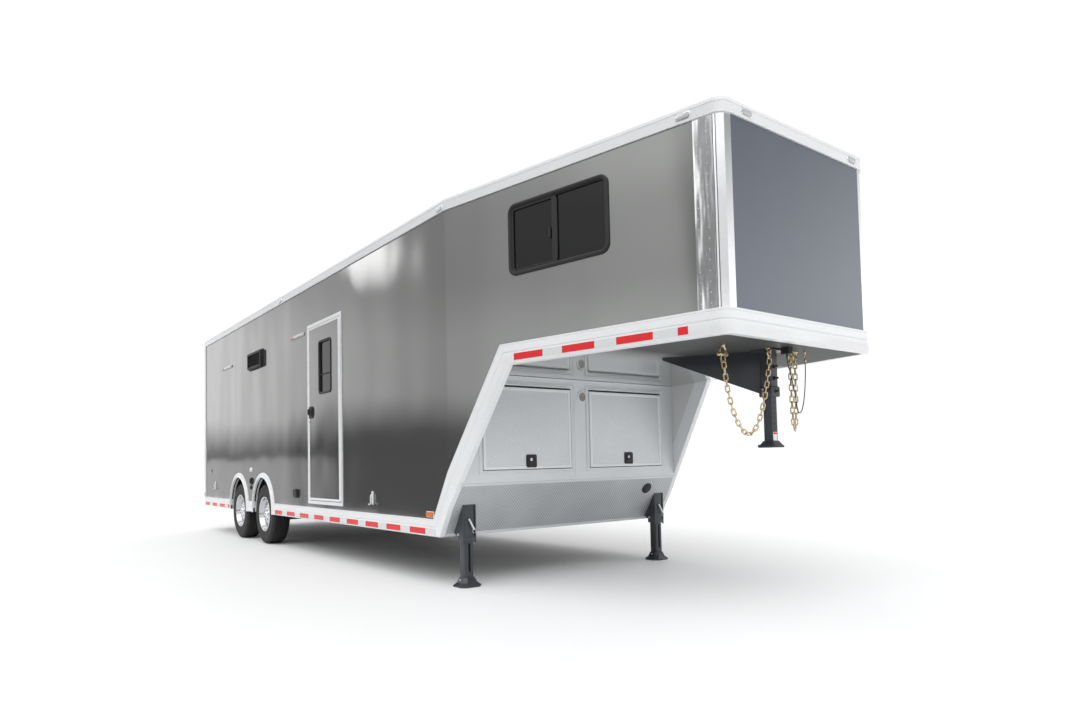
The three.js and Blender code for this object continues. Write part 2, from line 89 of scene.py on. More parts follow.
# seen from low down at the front right corner
camera = {"place": (7.8157, -4.2456, 0.9934), "yaw": 52.263, "pitch": 2.6116, "roll": -1.2549,
          "lens": 24.009, "sensor": 36, "rise": 0.0644}


def placeCamera(look):
    lens = bpy.data.cameras.new("camera")
    lens.lens, lens.sensor_width, lens.shift_y = look["lens"], look["sensor"], look["rise"]
    lens.clip_end = 400
    eye = bpy.data.objects.new("camera", lens)
    bpy.context.scene.collection.objects.link(eye)
    yaw, pitch, roll = (math.radians(look[key]) for key in ("yaw", "pitch", "roll"))
    eye.matrix_world = (Matrix.Translation(look["place"]) @ Matrix.Rotation(yaw, 4, "Z")
                        @ Matrix.Rotation(math.pi / 2 + pitch, 4, "X")
                        @ Matrix.Rotation(roll, 4, "Z"))
    bpy.context.scene.camera = eye


placeCamera(camera)
print("camera placed")


class Field:
    # a shader socket that ordinary arithmetic works on
    def __init__(self, paint, socket):
        self.paint, self.socket = paint, socket

    def do(self, operation, *others):
        sockets = dict(enumerate((self, *others)))
        return self.paint.node("ShaderNodeMath", {"operation": operation}, sockets)

    def __rsub__(self, other):
        return (self * -1).do("ADD", other)

    __add__ = __radd__ = lambda self, other: self.do("ADD", other)
    __sub__ = lambda self, other: self.do("SUBTRACT", other)
    __mul__ = __rmul__ = lambda self, other: self.do("MULTIPLY", other)
    __truediv__ = lambda self, other: self.do("DIVIDE", other)
    __gt__ = lambda self, other: self.do("GREATER_THAN", other)
    __lt__ = lambda self, other: self.do("LESS_THAN", other)

    def size(self):
        return self.do("ABSOLUTE")

    def clip(self, low, high):
        # 0 at low and 1 at high, with an even rise between
        ends = {"Value": self, "From Min": low, "From Max": high}
        return self.paint.node("ShaderNodeMapRange", {"clamp": True}, ends)


class Paint:
    # one material; words are sockets of its shader that don't vary
    def __init__(self, name, **fixed):
        self.material = bpy.data.materials.new(name)
        self.material.use_nodes = True
        self.tree = self.material.node_tree
        self.shader = self.tree.nodes["Principled BSDF"]
        for word, value in fixed.items():
            spaced = "".join(" " + c if c.isupper() else c for c in word).title().strip()
            spaced = spaced.replace("Ior", "IOR")
            socket = self.shader.inputs[spaced]
            socket.default_value = (*value, 1) if isinstance(value, tuple) else value
        self.place = None

    def feed(self, socket, value):
        if isinstance(value, Field):
            self.tree.links.new(value.socket, socket)
        elif isinstance(value, tuple) and len(value) == 3 and socket.type == "RGBA":
            socket.default_value = (*value, 1)
        else:
            socket.default_value = value

    def node(self, kind, settings=None, sockets=None, out=0):
        made = self.tree.nodes.new(kind)
        for key, value in (settings or {}).items():
            if key == "stops":
                setStops(made.color_ramp, value)
            else:
                setattr(made, key, value)
        for key, value in (sockets or {}).items():
            self.feed(made.inputs[key], value)
        return Field(self, made.outputs[out])

    def at(self):
        if self.place is None:
            self.place = self.node("ShaderNodeTexCoord", out="Object")
        return self.place

    def axes(self):
        split = self.tree.nodes.new("ShaderNodeSeparateXYZ")
        self.feed(split.inputs[0], self.at())
        return [Field(self, socket) for socket in split.outputs]

    def stretch(self, scale):
        return self.node("ShaderNodeMapping", None, {"Vector": self.at(), "Scale": scale})

    def noise(self, scale, detail=3, rough=0.5, where=None):
        sockets = {"Vector": where or self.at(), "Scale": scale, "Detail": detail,
                   "Roughness": rough}
        return self.node("ShaderNodeTexNoise", None, sockets)

    def mix(self, factor, low, high):
        sockets = {0: factor, 6: low, 7: high}
        return self.node("ShaderNodeMix", {"data_type": "RGBA"}, sockets, out=2)

    def bump(self, height, strength=0.2, depth=0.001):
        sockets = {"Height": height, "Strength": strength, "Distance": depth}
        self.set("Normal", self.node("ShaderNodeBump", None, sockets))

    def set(self, name, value):
        self.feed(self.shader.inputs[name], value)
        return self


def setStops(ramp, stops):
    while len(ramp.elements) > 1:
        ramp.elements.remove(ramp.elements[0])
    for i, (place, colour) in enumerate(stops):
        point = ramp.elements[0] if i == 0 else ramp.elements.new(place)
        point.position, point.color = place, (*colour, 1)


def circle(radius, count, start=0.0):
    steps = [start + 2 * math.pi * i / count for i in range(count)]
    return [(radius * math.cos(a), radius * math.sin(a)) for a in steps]


def roundBox(low, high, radius, steps=5):
    # corners of a rectangle as arcs, going round once
    points = []
    corners = [(high[0], low[1]), (high[0], high[1]), (low[0], high[1]), (low[0], low[1])]
    for i, (cx, cy) in enumerate(corners):
        cx += radius * (-1 if i < 2 else 1)
        cy += radius * (1 if i in (0, 3) else -1)
        for k in range(steps + 1):
            angle = math.pi / 2 * (i - 1 + k / steps)
            points.append((cx + radius * math.cos(angle), cy + radius * math.sin(angle)))
    return points


class Form:
    # gathers the surfaces of one piece; "tone" is the number of the paint in use
    def __init__(self, at=None):
        self.mesh = bmesh.new()
        self.at = at or Matrix.Translation((seam, 0, 0))
        self.tone = 0

    def loft(self, rings, caps=True, around=True, loop=False):
        rows = [[self.mesh.verts.new(self.at @ Vector(p)) for p in ring] for ring in rings]
        count = len(rows[0])
        pairs = list(zip(rows, rows[1:])) + ([(rows[-1], rows[0])] if loop else [])
        for low, high in pairs:
            for i in range(count if around else count - 1):
                k = (i + 1) % count
                self.face([low[i], low[k], high[k], high[i]])
        if caps and not loop:
            self.face(rows[0][::-1])
            self.face(rows[-1])
        return self

    def face(self, points):
        made = self.mesh.faces.new(points)
        made.material_index = self.tone

    def prism(self, outline, axis, start, end):
        # outline pairs are (x, y) along z, (x, z) along y and (y, z) along x
        spot = {"x": lambda p, t: (t, p[0], p[1]), "y": lambda p, t: (p[0], t, p[1]),
                "z": lambda p, t: (p[0], p[1], t)}[axis]
        return self.loft([[spot(p, t) for p in outline] for t in (start, end)])

    def box(self, low, high):
        outline = [(low[0], low[1]), (high[0], low[1]), (high[0], high[1]), (low[0], high[1])]
        return self.prism(outline, "z", low[2], high[2])

    def softBox(self, low, high, radius, axis, soften=0.0, steps=5):
        # a rounded rectangle pushed along an axis, its far edge softened
        keep = {"x": (1, 2), "y": (0, 2), "z": (0, 1)}[axis]
        along = {"x": 0, "y": 1, "z": 2}[axis]
        a, b = [tuple(c[k] for k in keep) for c in (low, high)]
        rings = []
        stages = [(low[along], soften), (low[along] + soften, 0), (high[along] - soften, 0),
                  (high[along], soften)] if soften else [(low[along], 0), (high[along], 0)]
        for t, inset in stages:
            ring = roundBox((a[0] + inset, a[1] + inset), (b[0] - inset, b[1] - inset),
                            max(radius - inset, 0.0004), steps)
            rings.append([tuple((p[0], p[1], t)[{keep[0]: 0, keep[1]: 1, along: 2}[k]]
                                for k in range(3)) for p in ring])
        return self.loft(rings)

    def pads(self, axis, centre, rows, base=0.0, way=1, steps=5):
        # rounded boxes standing on a face: place, size, depth off it, radius, softness, tone
        for place, size, depth, radius, soften, tone in rows:
            self.tone = tone
            corners = []
            for turn, t in zip((-1, 1), sorted(base + way * d for d in depth)):
                spot = [c + a + turn * b / 2 for c, a, b in zip(centre, place, size)]
                spot.insert("xyz".index(axis), t)
                corners.append(spot)
            self.softBox(*corners, radius, axis, soften, steps)
        return self

    def barrel(self, radius, start, length, centre, axis, edge, gap, count=14):
        # one knuckle of a hinge, short at both ends and with its edges taken off
        low, high = start + gap, start + length - gap
        profile = [(radius - edge[0], low), (radius, low + edge[1]), (radius, high - edge[1]),
                   (radius - edge[0], high)]
        return self.turned(profile, centre, axis, count)

    def turned(self, profile, centre, axis="z", count=24, closed=False):
        # profile pairs are (radius, distance along the axis)
        spot = {"x": lambda r, c, s, t: (t, r * c, r * s), "y": lambda r, c, s, t: (r * c, t, r * s),
                "z": lambda r, c, s, t: (r * c, r * s, t)}[axis]
        rings = []
        for radius, t in profile:
            ring = [spot(max(radius, 1e-5), *p, t) for p in circle(1, count)]
            rings.append([tuple(a + b for a, b in zip(p, centre)) for p in ring])
        return self.loft(rings, caps=not closed, loop=closed)

    def rod(self, start, end, radius, count=12):
        start, end = Vector(start), Vector(end)
        turn = (end - start).to_track_quat("Z", "Y")
        ring = [turn @ Vector((x, y, 0)) for x, y in circle(radius, count)]
        return self.loft([[tuple(p + q) for q in ring] for p in (start, end)])

    def tube(self, path, radius, count=8, loop=False):
        points = [Vector(p) for p in path]
        total = len(points)
        normal = None
        rings = []
        for i, point in enumerate(points):
            after = points[(i + 1) % total] if loop or i < total - 1 else point
            before = points[i - 1] if loop or i else point
            ahead = (after - before).normalized()
            normal = (normal - ahead * normal.dot(ahead) if normal else ahead.orthogonal())
            normal = normal.normalized()
            other = ahead.cross(normal)
            rings.append([tuple(point + normal * x + other * y)
                          for x, y in circle(radius, count)])
        return self.loft(rings, caps=not loop, loop=loop)

    def frame(self, low, high, radius, profile, spot, steps=5):
        # profile pairs are (inset, out) and spot places each (a, out, b)
        rings = []
        for inset, out in profile:
            ring = roundBox((low[0] + inset, low[1] + inset), (high[0] - inset, high[1] - inset),
                            max(radius - inset, 0.0006), steps)
            rings.append([spot(a, out, b) for a, b in ring])
        return self.loft(rings, loop=True)

    def wrap(self, side=-1, fine=10):
        # made flat as (run, out, height), then laid on the outer skin
        mesh = self.mesh
        runs = [v.co.x for v in mesh.verts]
        cuts = [0] + [arcStart + (arcEnd - arcStart) * i / fine for i in range(fine + 1)]
        for cut in cuts:
            if min(runs) < cut - 1e-5 and max(runs) > cut + 1e-5:
                geom = mesh.verts[:] + mesh.edges[:] + mesh.faces[:]
                bmesh.ops.bisect_plane(mesh, geom=geom, dist=1e-6, plane_co=(cut, 0, 0),
                                       plane_no=(1, 0, 0))
        for v in mesh.verts:
            v.co = skinPoint(v.co.x, v.co.y, v.co.z, side)
        return self

    def make(self, name, rider, slot, paints, bevel=0.0, smooth=32, replaces=()):
        bmesh.ops.recalc_face_normals(self.mesh, faces=self.mesh.faces)
        data = bpy.data.meshes.new(name)
        self.mesh.to_mesh(data)
        self.mesh.free()
        for paint in paints:
            data.materials.append(paint.material)
        data.shade_smooth()
        data.set_sharp_from_angle(angle=math.radians(smooth))
        piece = bpy.data.objects.new(name, data)
        bpy.context.scene.collection.objects.link(piece)
        if bevel:
            edge = piece.modifiers.new("edges", "BEVEL")
            edge.width, edge.segments, edge.limit_method = bevel, 2, "ANGLE"
            edge.angle_limit = math.radians(40)
            edge.harden_normals = True
        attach(piece, rider)
        if replaces:
            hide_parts(*replaces)
        return piece


def onSkin():
    # a form in the frame's own axes, to be wrapped on the skin
    return Form(Matrix())


def flat(a, out, b):
    # where a frame's point stands on a form that is wrapped later
    return (a, out, b)


def carve(piece, cutter):
    # takes the cutter form out of a piece's mesh
    bmesh.ops.recalc_face_normals(cutter.mesh, faces=cutter.mesh.faces)
    data = bpy.data.meshes.new("cutter")
    cutter.mesh.to_mesh(data)
    tool = bpy.data.objects.new("cutter", data)
    bpy.context.scene.collection.objects.link(tool)
    cut = piece.modifiers.new("cut", "BOOLEAN")
    cut.object, cut.operation, cut.solver = tool, "DIFFERENCE", "EXACT"
    held = bpy.context.evaluated_depsgraph_get()
    made = bpy.data.meshes.new_from_object(piece.evaluated_get(held))
    piece.modifiers.clear()
    piece.data = made
    bpy.data.objects.remove(tool)
    made.shade_smooth()
    made.set_sharp_from_angle(angle=math.radians(32))


# breakaway cable, from its switch under the nose to its clip
cable = {
    "diameter": 0.007, "length": 0.838,
    "route": [  # station, side, height; the same run as the solid it stands for
        (2.255, -0.008, 1.6797), (2.255, -0.008, 1.655), (2.254, 0.002, 1.62),
        (2.248, 0.03, 1.57), (2.236, 0.075, 1.5), (2.22, 0.125, 1.42), (2.204, 0.165, 1.35),
        (2.194, 0.192, 1.31), (2.19, 0.218, 1.296), (2.19, 0.244, 1.312),
        (2.192, 0.264, 1.356), (2.196, 0.278, 1.43), (2.2, 0.286, 1.52),
        (2.202, 0.29, 1.6), (2.202, 0.29, 1.65)],
    "clip": (2.202, 0.29), "clipLow": 1.6503, "eyeUp": 0.046, "eye": (0.008, 0.014), "eyeWire": 0.0028,
    "snap": [(0.0034, 0.0), (0.0075, 0.002), (0.009, 0.006), (0.009, 0.022), (0.006, 0.028),
             (0.004, 0.034)],
    "boss": [(0.004, -0.02), (0.009, -0.008), (0.009, 0.0)],
}


def rubberPaint(name, colour, rough, grain, depth):
    # soft black vinyl or rubber: a fine grain and slightly worn, paler high spots
    paint = Paint(name, specularIorLevel=0.4)
    fine, broad = paint.noise(grain, 4), paint.noise(6, 2)
    worn = tuple(c * 1.9 + 0.01 for c in colour)
    paint.set("Base Color", paint.mix((broad * 0.5 + fine * 0.5).clip(0.35, 0.8), colour, worn))
    paint.set("Roughness", (fine * 0.2 + rough).do("MINIMUM", 1.0))
    paint.bump(fine, 0.35, depth)
    return paint


def platedPaint(name, low, high, rough):
    # zinc plate with the uneven tint of its passivation
    paint = Paint(name, metallic=1.0)
    broad, fine = paint.noise(26, 3), paint.noise(240, 3)
    paint.set("Base Color", paint.mix(broad.clip(0.38, 0.66), low, high))
    paint.set("Roughness", fine * 0.25 + rough)
    paint.bump(fine, 0.2, 0.0004)
    return paint


cableJacket = rubberPaint("cableJacket", (0.012, 0.012, 0.014), 0.4, 900, 0.0002)
goldZinc = platedPaint("goldZinc", (0.62, 0.45, 0.2), (0.78, 0.72, 0.55), 0.22)
brightZinc = platedPaint("brightZinc", (0.62, 0.63, 0.65), (0.78, 0.79, 0.8), 0.2)


def makeCable(look):
    data = bpy.data.curves.new("breakaway_lead", "CURVE")
    data.dimensions, data.bevel_resolution = "3D", 4
    data.bevel_depth, data.resolution_u = look["diameter"] / 2, 8
    data.use_fill_caps = True
    line = data.splines.new("BEZIER")
    line.bezier_points.add(len(look["route"]) - 1)
    for point, (x, y, z) in zip(line.bezier_points, look["route"]):
        point.co = (seam + x, y, z)
        point.handle_left_type = point.handle_right_type = "AUTO"
    data.materials.append(cableJacket.material)
    lead = bpy.data.objects.new("breakaway_lead", data)
    bpy.context.scene.collection.objects.link(lead)
    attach(lead, "trailer")
    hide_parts("breakaway_cable")

    x, y = look["clip"]
    low, high = look["clipLow"], body["neckBottom"] - 0.0003
    form = Form()
    form.turned([(r, low + t) for r, t in look["snap"]], (x, y, 0), count=20)
    wide, tall = look["eye"]
    eye = [(x, y + wide * a, low + look["eyeUp"] + tall * b) for a, b in circle(1, 20)]
    form.tube(eye, look["eyeWire"], loop=True)
    form.turned([(r, high + t) for r, t in look["boss"]], (x, y, 0), count=6)
    clip = form.make("breakaway_snap", "trailer", "plated_chain", [goldZinc],
                     replaces=["breakaway_clip"])


makeCable(cable)

# a pale floor in a pale room
studio = {"floor": (0.94, 0.945, 0.95), "low": (-60, -4.9), "high": (60, 60),
          "back": (0.985, 0.99, 1.0), "strength": 1.06,
          # the room below the horizon, and how high its pale strip reaches at the rear
          "below": (0.05, 0.05, 0.052), "rearBelow": (0.75, 0.75, 0.75), "skirt": 0.012,
          "rearward": (0.92, 0.95), "rearDrop": 0.035, "band": (0.045, 0.095),
          "spot": (-0.874, -0.398, 0.279), "spotPower": 3.9, "spotSize": (0.9989, 0.99996),
          "sun": 1.0, "sunTurn": (34, 0, 38), "sunSpread": 50,
          # pale and dark stretches round the right side, from the rear to the front
          "round": [(-1.0, 1.1), (-0.8, 1.2), (-0.75, 1.0), (-0.68, 0.95), (-0.64, 0.72),
                    (-0.45, 0.8), (-0.38, 1.1), (-0.3, 1.35), (-0.23, 1.45), (-0.219, 0.35),
                    (-0.19, 0.3), (-0.175, 0.8), (-0.15, 0.05), (-0.1, 0.08), (-0.08, 1.2),
                    (0.14, 1.2), (0.16, 0.2), (0.24, 0.2), (0.27, 1.0)],
          # and up from the horizon, on the right and on the left
          "rise": [(0.0, 1.0), (0.09, 1.1), (0.17, 1.1), (0.24, 0.76), (0.34, 0.82), (0.4, 1.15),
                   (0.6, 1.05), (1.0, 1.0)],
          "farRise": [(0.0, 1.3), (0.2, 1.4), (0.42, 0.4), (0.6, 0.8), (1.0, 1.0)]}


class Sky(Paint):
    # the room, built with the same words as a finish
    def __init__(self, world):
        self.tree, self.place = world.node_tree, None
        self.shader = self.tree.nodes["Background"]

    def at(self):
        if self.place is None:
            self.place = self.node("ShaderNodeTexCoord", out="Generated")
        return self.place


def lightStudio(look):
    form = Form(Matrix())
    (west, south), (east, north) = look["low"], look["high"]
    corners = [(west, south), (east, south), (east, north), (west, north)]
    form.face([form.mesh.verts.new((x, y, 0)) for x, y in corners])
    paint = Paint("studioFloor", roughness=0.6, specularIorLevel=0.2)
    paint.set("Base Color", paint.mix(paint.noise(0.6, 2).clip(0.3, 0.7),
                                      tuple(c * 0.99 for c in look["floor"]), look["floor"]))
    data = bpy.data.meshes.new("studio_floor")
    form.mesh.to_mesh(data)
    data.materials.append(paint.material)
    floor = bpy.data.objects.new("studio_floor", data)
    bpy.context.scene.collection.objects.link(floor)

    # a pale room for the lens; the skins see a soft horizon, a lamp and a darker side
    world = bpy.data.worlds.new("studio")
    bpy.context.scene.world = world
    world.use_nodes = True
    sky = Sky(world)
    x, y, z = sky.axes()
    rearward = (x * -1).clip(*look["rearward"])
    dark = sky.mix(rearward * (z < look["skirt"]), look["below"], look["rearBelow"])
    grey = lambda stops, shift=0: [((t + shift) / (1 + shift), (v, v, v)) for t, v in stops]
    turn = x / (x.size() + y.size()) * 0.5 + 0.5
    near = sky.node("ShaderNodeValToRGB", {"stops": grey(look["round"], 1)}, {0: turn})
    near = near * sky.node("ShaderNodeValToRGB", {"stops": grey(look["rise"])}, {0: z})
    far = sky.node("ShaderNodeValToRGB", {"stops": grey(look["farRise"])}, {0: z})
    high = sky.mix(y > 0, near, far)
    glow = sky.node("ShaderNodeVectorMath", {"operation": "DOT_PRODUCT"},
                    {0: sky.at(), 1: Vector(look["spot"]).normalized()}, out=1)
    room = sky.mix((rearward * look["rearDrop"] + z).clip(*look["band"]), dark, high)
    room = sky.mix(glow.clip(*look["spotSize"]), room, tuple([look["spotPower"]] * 3))
    seen = sky.node("ShaderNodeLightPath")
    sky.set("Color", sky.mix(seen, room, look["back"]))
    sky.set("Strength", look["strength"])

    sun = bpy.data.lights.new("softKey", "SUN")
    sun.energy, sun.angle = look["sun"], math.radians(look["sunSpread"])
    lamp = bpy.data.objects.new("softKey", sun)
    lamp.rotation_euler = [math.radians(a) for a in look["sunTurn"]]
    bpy.context.scene.collection.objects.link(lamp)
    bpy.context.scene.view_settings.view_transform = "Standard"


lightStudio(studio)
print("studio lit")


def skinDepth(paint):
    # how far a point lies inside the outer skin of the box or of the tapered nose
    x, y, _ = paint.axes()
    straight = half - y.size()
    tapered = straight * math.cos(taper) - (x - seam) * math.sin(taper)
    return straight.do("MINIMUM", tapered)


def skinPaint(name, dark, pale, depth, lining):
    # metallic coat over sheet that waves a little between its posts, lined behind
    paint = Paint(name, specularIorLevel=0.7)
    flake, broad = paint.noise(1400, 1), paint.noise(0.7, 2)
    sheet = paint.mix((flake * 0.5 + broad * 0.5).clip(0.3, 0.7), dark, pale)
    waves = paint.noise(1.0, 1, 0.3, paint.stretch((1.5, 1.5, 0.85)))
    peel, pebble = paint.noise(160, 2), paint.noise(420, 2)
    inside = depth(paint) > 0.02
    wall = paint.mix(pebble.clip(0.4, 0.6), *lining)
    paint.set("Base Color", paint.mix(inside, sheet, wall))
    paint.set("Metallic", (1 - inside) * 0.72)
    paint.set("Roughness", inside * 0.3 + (flake * 0.04 + broad * 0.04 + 0.05))
    paint.bump(waves + peel * 0.002, 1.0, 0.011)
    return paint


def trimPaint(name, colour, metal, rough, brush=(2, 2, 90), coat=0.3):
    # extruded aluminium: fine drawing lines, soft dirt and slight edge wear
    paint = Paint(name, metallic=metal, coatWeight=coat, coatRoughness=0.12)
    lines = paint.noise(1.0, 3, 0.6, paint.stretch(brush))
    spots = paint.noise(3.5, 3)
    shade = tuple(c * 0.96 for c in colour)
    paint.set("Base Color", paint.mix((lines * 0.4 + spots * 0.6).clip(0.35, 0.6), shade, colour))
    paint.set("Roughness", lines * 0.12 + spots * 0.08 + rough)
    paint.bump(lines, 0.12, 0.0006)
    return paint


def mirrorPaint(name, colour, rough, wave):
    paint = Paint(name, metallic=1.0)
    waves, haze = paint.noise(1.0, 2, 0.4, paint.stretch((9, 9, 1.6))), paint.noise(30, 3)
    paint.set("Base Color", paint.mix(haze.clip(0.3, 0.7), tuple(c * 0.96 for c in colour), colour))
    paint.set("Roughness", haze * 0.05 + rough)
    paint.bump(waves, 1.0, wave)
    return paint


def coatedPaint(name, colour, rough, grain=500, depth=0.0003, coat=0.0, worn=0.5, metal=0.0):
    # powder coat or moulded plastic: fine texture, soft patches and dulled high spots
    paint = Paint(name, coatWeight=coat, coatRoughness=0.15, metallic=metal)
    fine, broad = paint.noise(grain, 3), paint.noise(4.5, 4, 0.6)
    pale = tuple(c * (1 + worn) + 0.004 * worn for c in colour)
    paint.set("Base Color", paint.mix((fine * 0.35 + broad * 0.65).clip(0.38, 0.72), colour, pale))
    paint.set("Roughness", fine * 0.16 + broad * 0.1 + rough)
    paint.bump(fine, 0.4, depth)
    return paint


def embossedPaint(name, low, high, cell, depth, rough, metal, slant=False):
    # sheet pressed all over with small diamonds or pebbles, darker in their hollows as painted shade
    paint = Paint(name, metallic=metal, coatWeight=0.15, coatRoughness=0.2)
    if slant:
        x, y, z = paint.axes()
        across, along = y * (math.pi / cell), (x * 0.53 + z * 0.85) * (math.pi / cell)
        dentsAndShade = (across + along).do("SINE").size() * (across - along).do("SINE").size()
    else:
        dentsAndShade = paint.node("ShaderNodeTexVoronoi", {"feature": "SMOOTH_F1"},
                           {"Vector": paint.at(), "Scale": 1 / cell})
    broad = paint.noise(2.2, 3)
    # painted shade: the colour follows the dents, darker where the sheet sinks
    paint.set("Base Color", paint.mix((dentsAndShade * 0.6 + broad * 0.4).clip(0.15, 0.7), low, high))
    paint.set("Roughness", broad * 0.14 + rough)
    paint.bump(dentsAndShade, 0.6, depth)
    return paint


def glassPaint(name, colour, clear):
    paint = Paint(name, transmissionWeight=clear, ior=1.45, specularIorLevel=0.2)
    filmAndShade = paint.noise(5, 3)
    paint.set("Base Color", paint.mix(filmAndShade.clip(0.3, 0.7), colour, tuple(c * 1.15 for c in colour)))
    paint.set("Roughness", filmAndShade * 0.03 + 0.01)
    return paint


def lampPaint(name, colour, clear):
    # moulded lens with fine upright flutes over a bright reflector, darker in the flute troughs as
    # painted shade
    paint = Paint(name, transmissionWeight=clear, ior=1.49, coatWeight=0.6, coatRoughness=0.04)
    x, y, z = paint.axes()
    flutesAndShade = ((x + y) * 900).do("SINE") * 0.5 + 0.5
    # painted shade: the colour follows the flutes, darker in their troughs
    paint.set("Base Color", paint.mix(flutesAndShade, tuple(c * 0.7 for c in colour), colour))
    paint.set("Roughness", flutesAndShade * 0.1 + 0.08)
    paint.bump(flutesAndShade, 0.5, 0.0006)
    return paint


def tapePaint(name, colour):
    # prismatic marking tape under a clear film
    paint = Paint(name, coatWeight=0.15, coatRoughness=0.1, specularIorLevel=0.3)
    cells = paint.node("ShaderNodeTexVoronoi", {"feature": "DISTANCE_TO_EDGE"},
                       {"Vector": paint.at(), "Scale": 180})
    edge = cells.clip(0.0, 0.12)
    paint.set("Base Color", paint.mix(edge, tuple(c * 0.8 for c in colour), colour))
    paint.set("Roughness", edge * 0.1 + 0.22)
    paint.bump(edge, 0.25, 0.0003)
    return paint


def deckPaint(name, top, board, under):
    # sealed ply boards across the trailer, black below
    paint = Paint(name, coatWeight=0.2, coatRoughness=0.3)
    x, y, z = paint.axes()
    grain = paint.noise(1.0, 5, 0.62, paint.stretch((38, 2.2, 10)))
    seams = ((x * (1 / board)).do("FRACT") - 0.5).size() > 0.4985
    wood = paint.mix(grain.clip(0.3, 0.7), tuple(c * 0.68 for c in top), top)
    wood = paint.mix(seams, wood, (0.05, 0.045, 0.04))
    below = z < under
    paint.set("Base Color", paint.mix(below, wood, (0.035, 0.035, 0.036)))
    paint.set("Roughness", grain * 0.2 + 0.4)
    paint.bump(grain - seams * 2, 0.3, 0.001)
    return paint


def neckFloorPaint(name, level):
    # ply above, a polished sheet below that mirrors the doors under the nose, with painted shade over
    # its front part
    paint = Paint(name, specularIorLevel=0.1)
    x, y, z = paint.axes()
    above = z > level
    grain = paint.noise(1.0, 5, 0.62, paint.stretch((30, 2.2, 10)))
    waves = paint.noise(1.3, 2)
    wood = paint.mix(grain.clip(0.3, 0.7), (0.2, 0.16, 0.11), (0.34, 0.28, 0.2))
    sheet = paint.mix(waves.clip(0.3, 0.7), (0.5, 0.51, 0.5), (0.56, 0.57, 0.56))
    # painted shade: towards the front the sheet turns dark and stops mirroring, standing for the shadow
    # it would reflect
    filmAndShade = (x + waves * 0.15).clip(seam + 1.3, seam + 1.75)
    sheet = paint.mix(filmAndShade, sheet, (0.07, 0.072, 0.07))
    paint.set("Base Color", paint.mix(above, sheet, wood))
    paint.set("Metallic", (1 - above) * (1 - filmAndShade))
    paint.set("Roughness", above * 0.4 + filmAndShade * 0.4 + 0.07)
    paint.bump(waves, 1.0, 0.0015)
    return paint


def roofPaint(name, colour, pitch):
    # white sheets lapped over the bows, with sealed seams and a little dust
    paint = Paint(name, coatWeight=0.1, coatRoughness=0.3)
    x, y, z = paint.axes()
    seams = ((x * (1 / pitch)).do("FRACT") - 0.5).size().clip(0.4955, 0.499)
    dust, patches = paint.noise(14, 4), paint.noise(1.1, 3)
    worn = (dust * 0.5 + patches * 0.5).clip(0.3, 0.7)
    base = paint.mix(worn, tuple(c * 0.86 for c in colour), colour)
    paint.set("Base Color", paint.mix(seams, base, (0.55, 0.55, 0.54)))
    paint.set("Roughness", dust * 0.2 + 0.38)
    paint.bump(seams + patches * 0.4, 0.5, 0.004)
    return paint


whiteLining = ((0.66, 0.67, 0.67), (0.72, 0.72, 0.71))
plyLining = ((0.2, 0.16, 0.11), (0.3, 0.245, 0.17))
doorDepth = lambda paint: paint.axes()[1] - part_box("entry_door")[0].y
rampDepth = lambda paint: paint.axes()[0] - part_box("rear_ramp_door")[0].x
charcoal = ((0.2, 0.202, 0.198), (0.23, 0.232, 0.228))
sideSkin = skinPaint("sideSkin", *charcoal, skinDepth, whiteLining)
noseSkin = skinPaint("noseWallSkin", (0.21, 0.215, 0.21), (0.24, 0.245, 0.239), skinDepth,
                     whiteLining)
doorSkin = skinPaint("doorSkin", *charcoal, doorDepth, whiteLining)
rampSkin = skinPaint("rampSkin", *charcoal, rampDepth, plyLining)
panelSkin = coatedPaint("nosePanelSkin", (0.09, 0.108, 0.142), 0.26, 900, 0.00012, coat=0.9,
                        worn=0.1, metal=0.4)
whiteTrim = trimPaint("whiteTrim", (0.84, 0.855, 0.87), 0.0, 0.26)
whiteTrimLong = trimPaint("whiteTrimLong", (0.84, 0.855, 0.87), 0.0, 0.26, (1.2, 60, 60))
mirrorMetal = mirrorPaint("mirrorMetal", (0.82, 0.83, 0.84), 0.04, 0.003)
brightChrome = mirrorPaint("brightChrome", (0.88, 0.88, 0.9), 0.05, 0.0)
framePaintAndShade = coatedPaint("framePaintAndShade", (0.02, 0.022, 0.025), 0.38, 420, 0.0003, coat=0.3)
jackPaint = coatedPaint("jackPaint", (0.022, 0.026, 0.032), 0.34, 420, 0.0003, coat=0.35)
mouldedAndShade = coatedPaint("mouldedBlackAndShade", (0.013, 0.013, 0.014), 0.42, 700, 0.0003)
whitePlastic = coatedPaint("whitePlastic", (0.78, 0.79, 0.8), 0.3, 500, 0.0002, worn=0.05)
sealRubber = rubberPaint("sealRubber", (0.012, 0.012, 0.013), 0.5, 500, 0.0003)
tyreRubber = rubberPaint("tyreRubber", (0.009, 0.009, 0.0095), 0.6, 260, 0.0006)
tyreSide = rubberPaint("tyreSide", (0.011, 0.011, 0.0115), 0.55, 420, 0.0003)
stoneGuard = embossedPaint("stoneGuard", (0.33, 0.345, 0.365), (0.66, 0.675, 0.695), 0.026, 0.0035,
                           0.3, 0.5, slant=True)
hatchSheet = embossedPaint("hatchSheet", (0.6, 0.62, 0.645), (0.74, 0.76, 0.785), 0.008, 0.0006,
                           0.34, 0.25)
bulkheadWhite = trimPaint("bulkheadWhite", (0.72, 0.74, 0.76), 0.1, 0.3, (6, 6, 6))
deckBoards = deckPaint("deckBoards", (0.42, 0.33, 0.22), 1.22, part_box("load_floor")[1].z - 0.03)
neckSheet = neckFloorPaint("neckSheet", body["neckBottom"] + 0.03)
roofSheet = roofPaint("roofSheet", (0.8, 0.8, 0.8), 1.22)
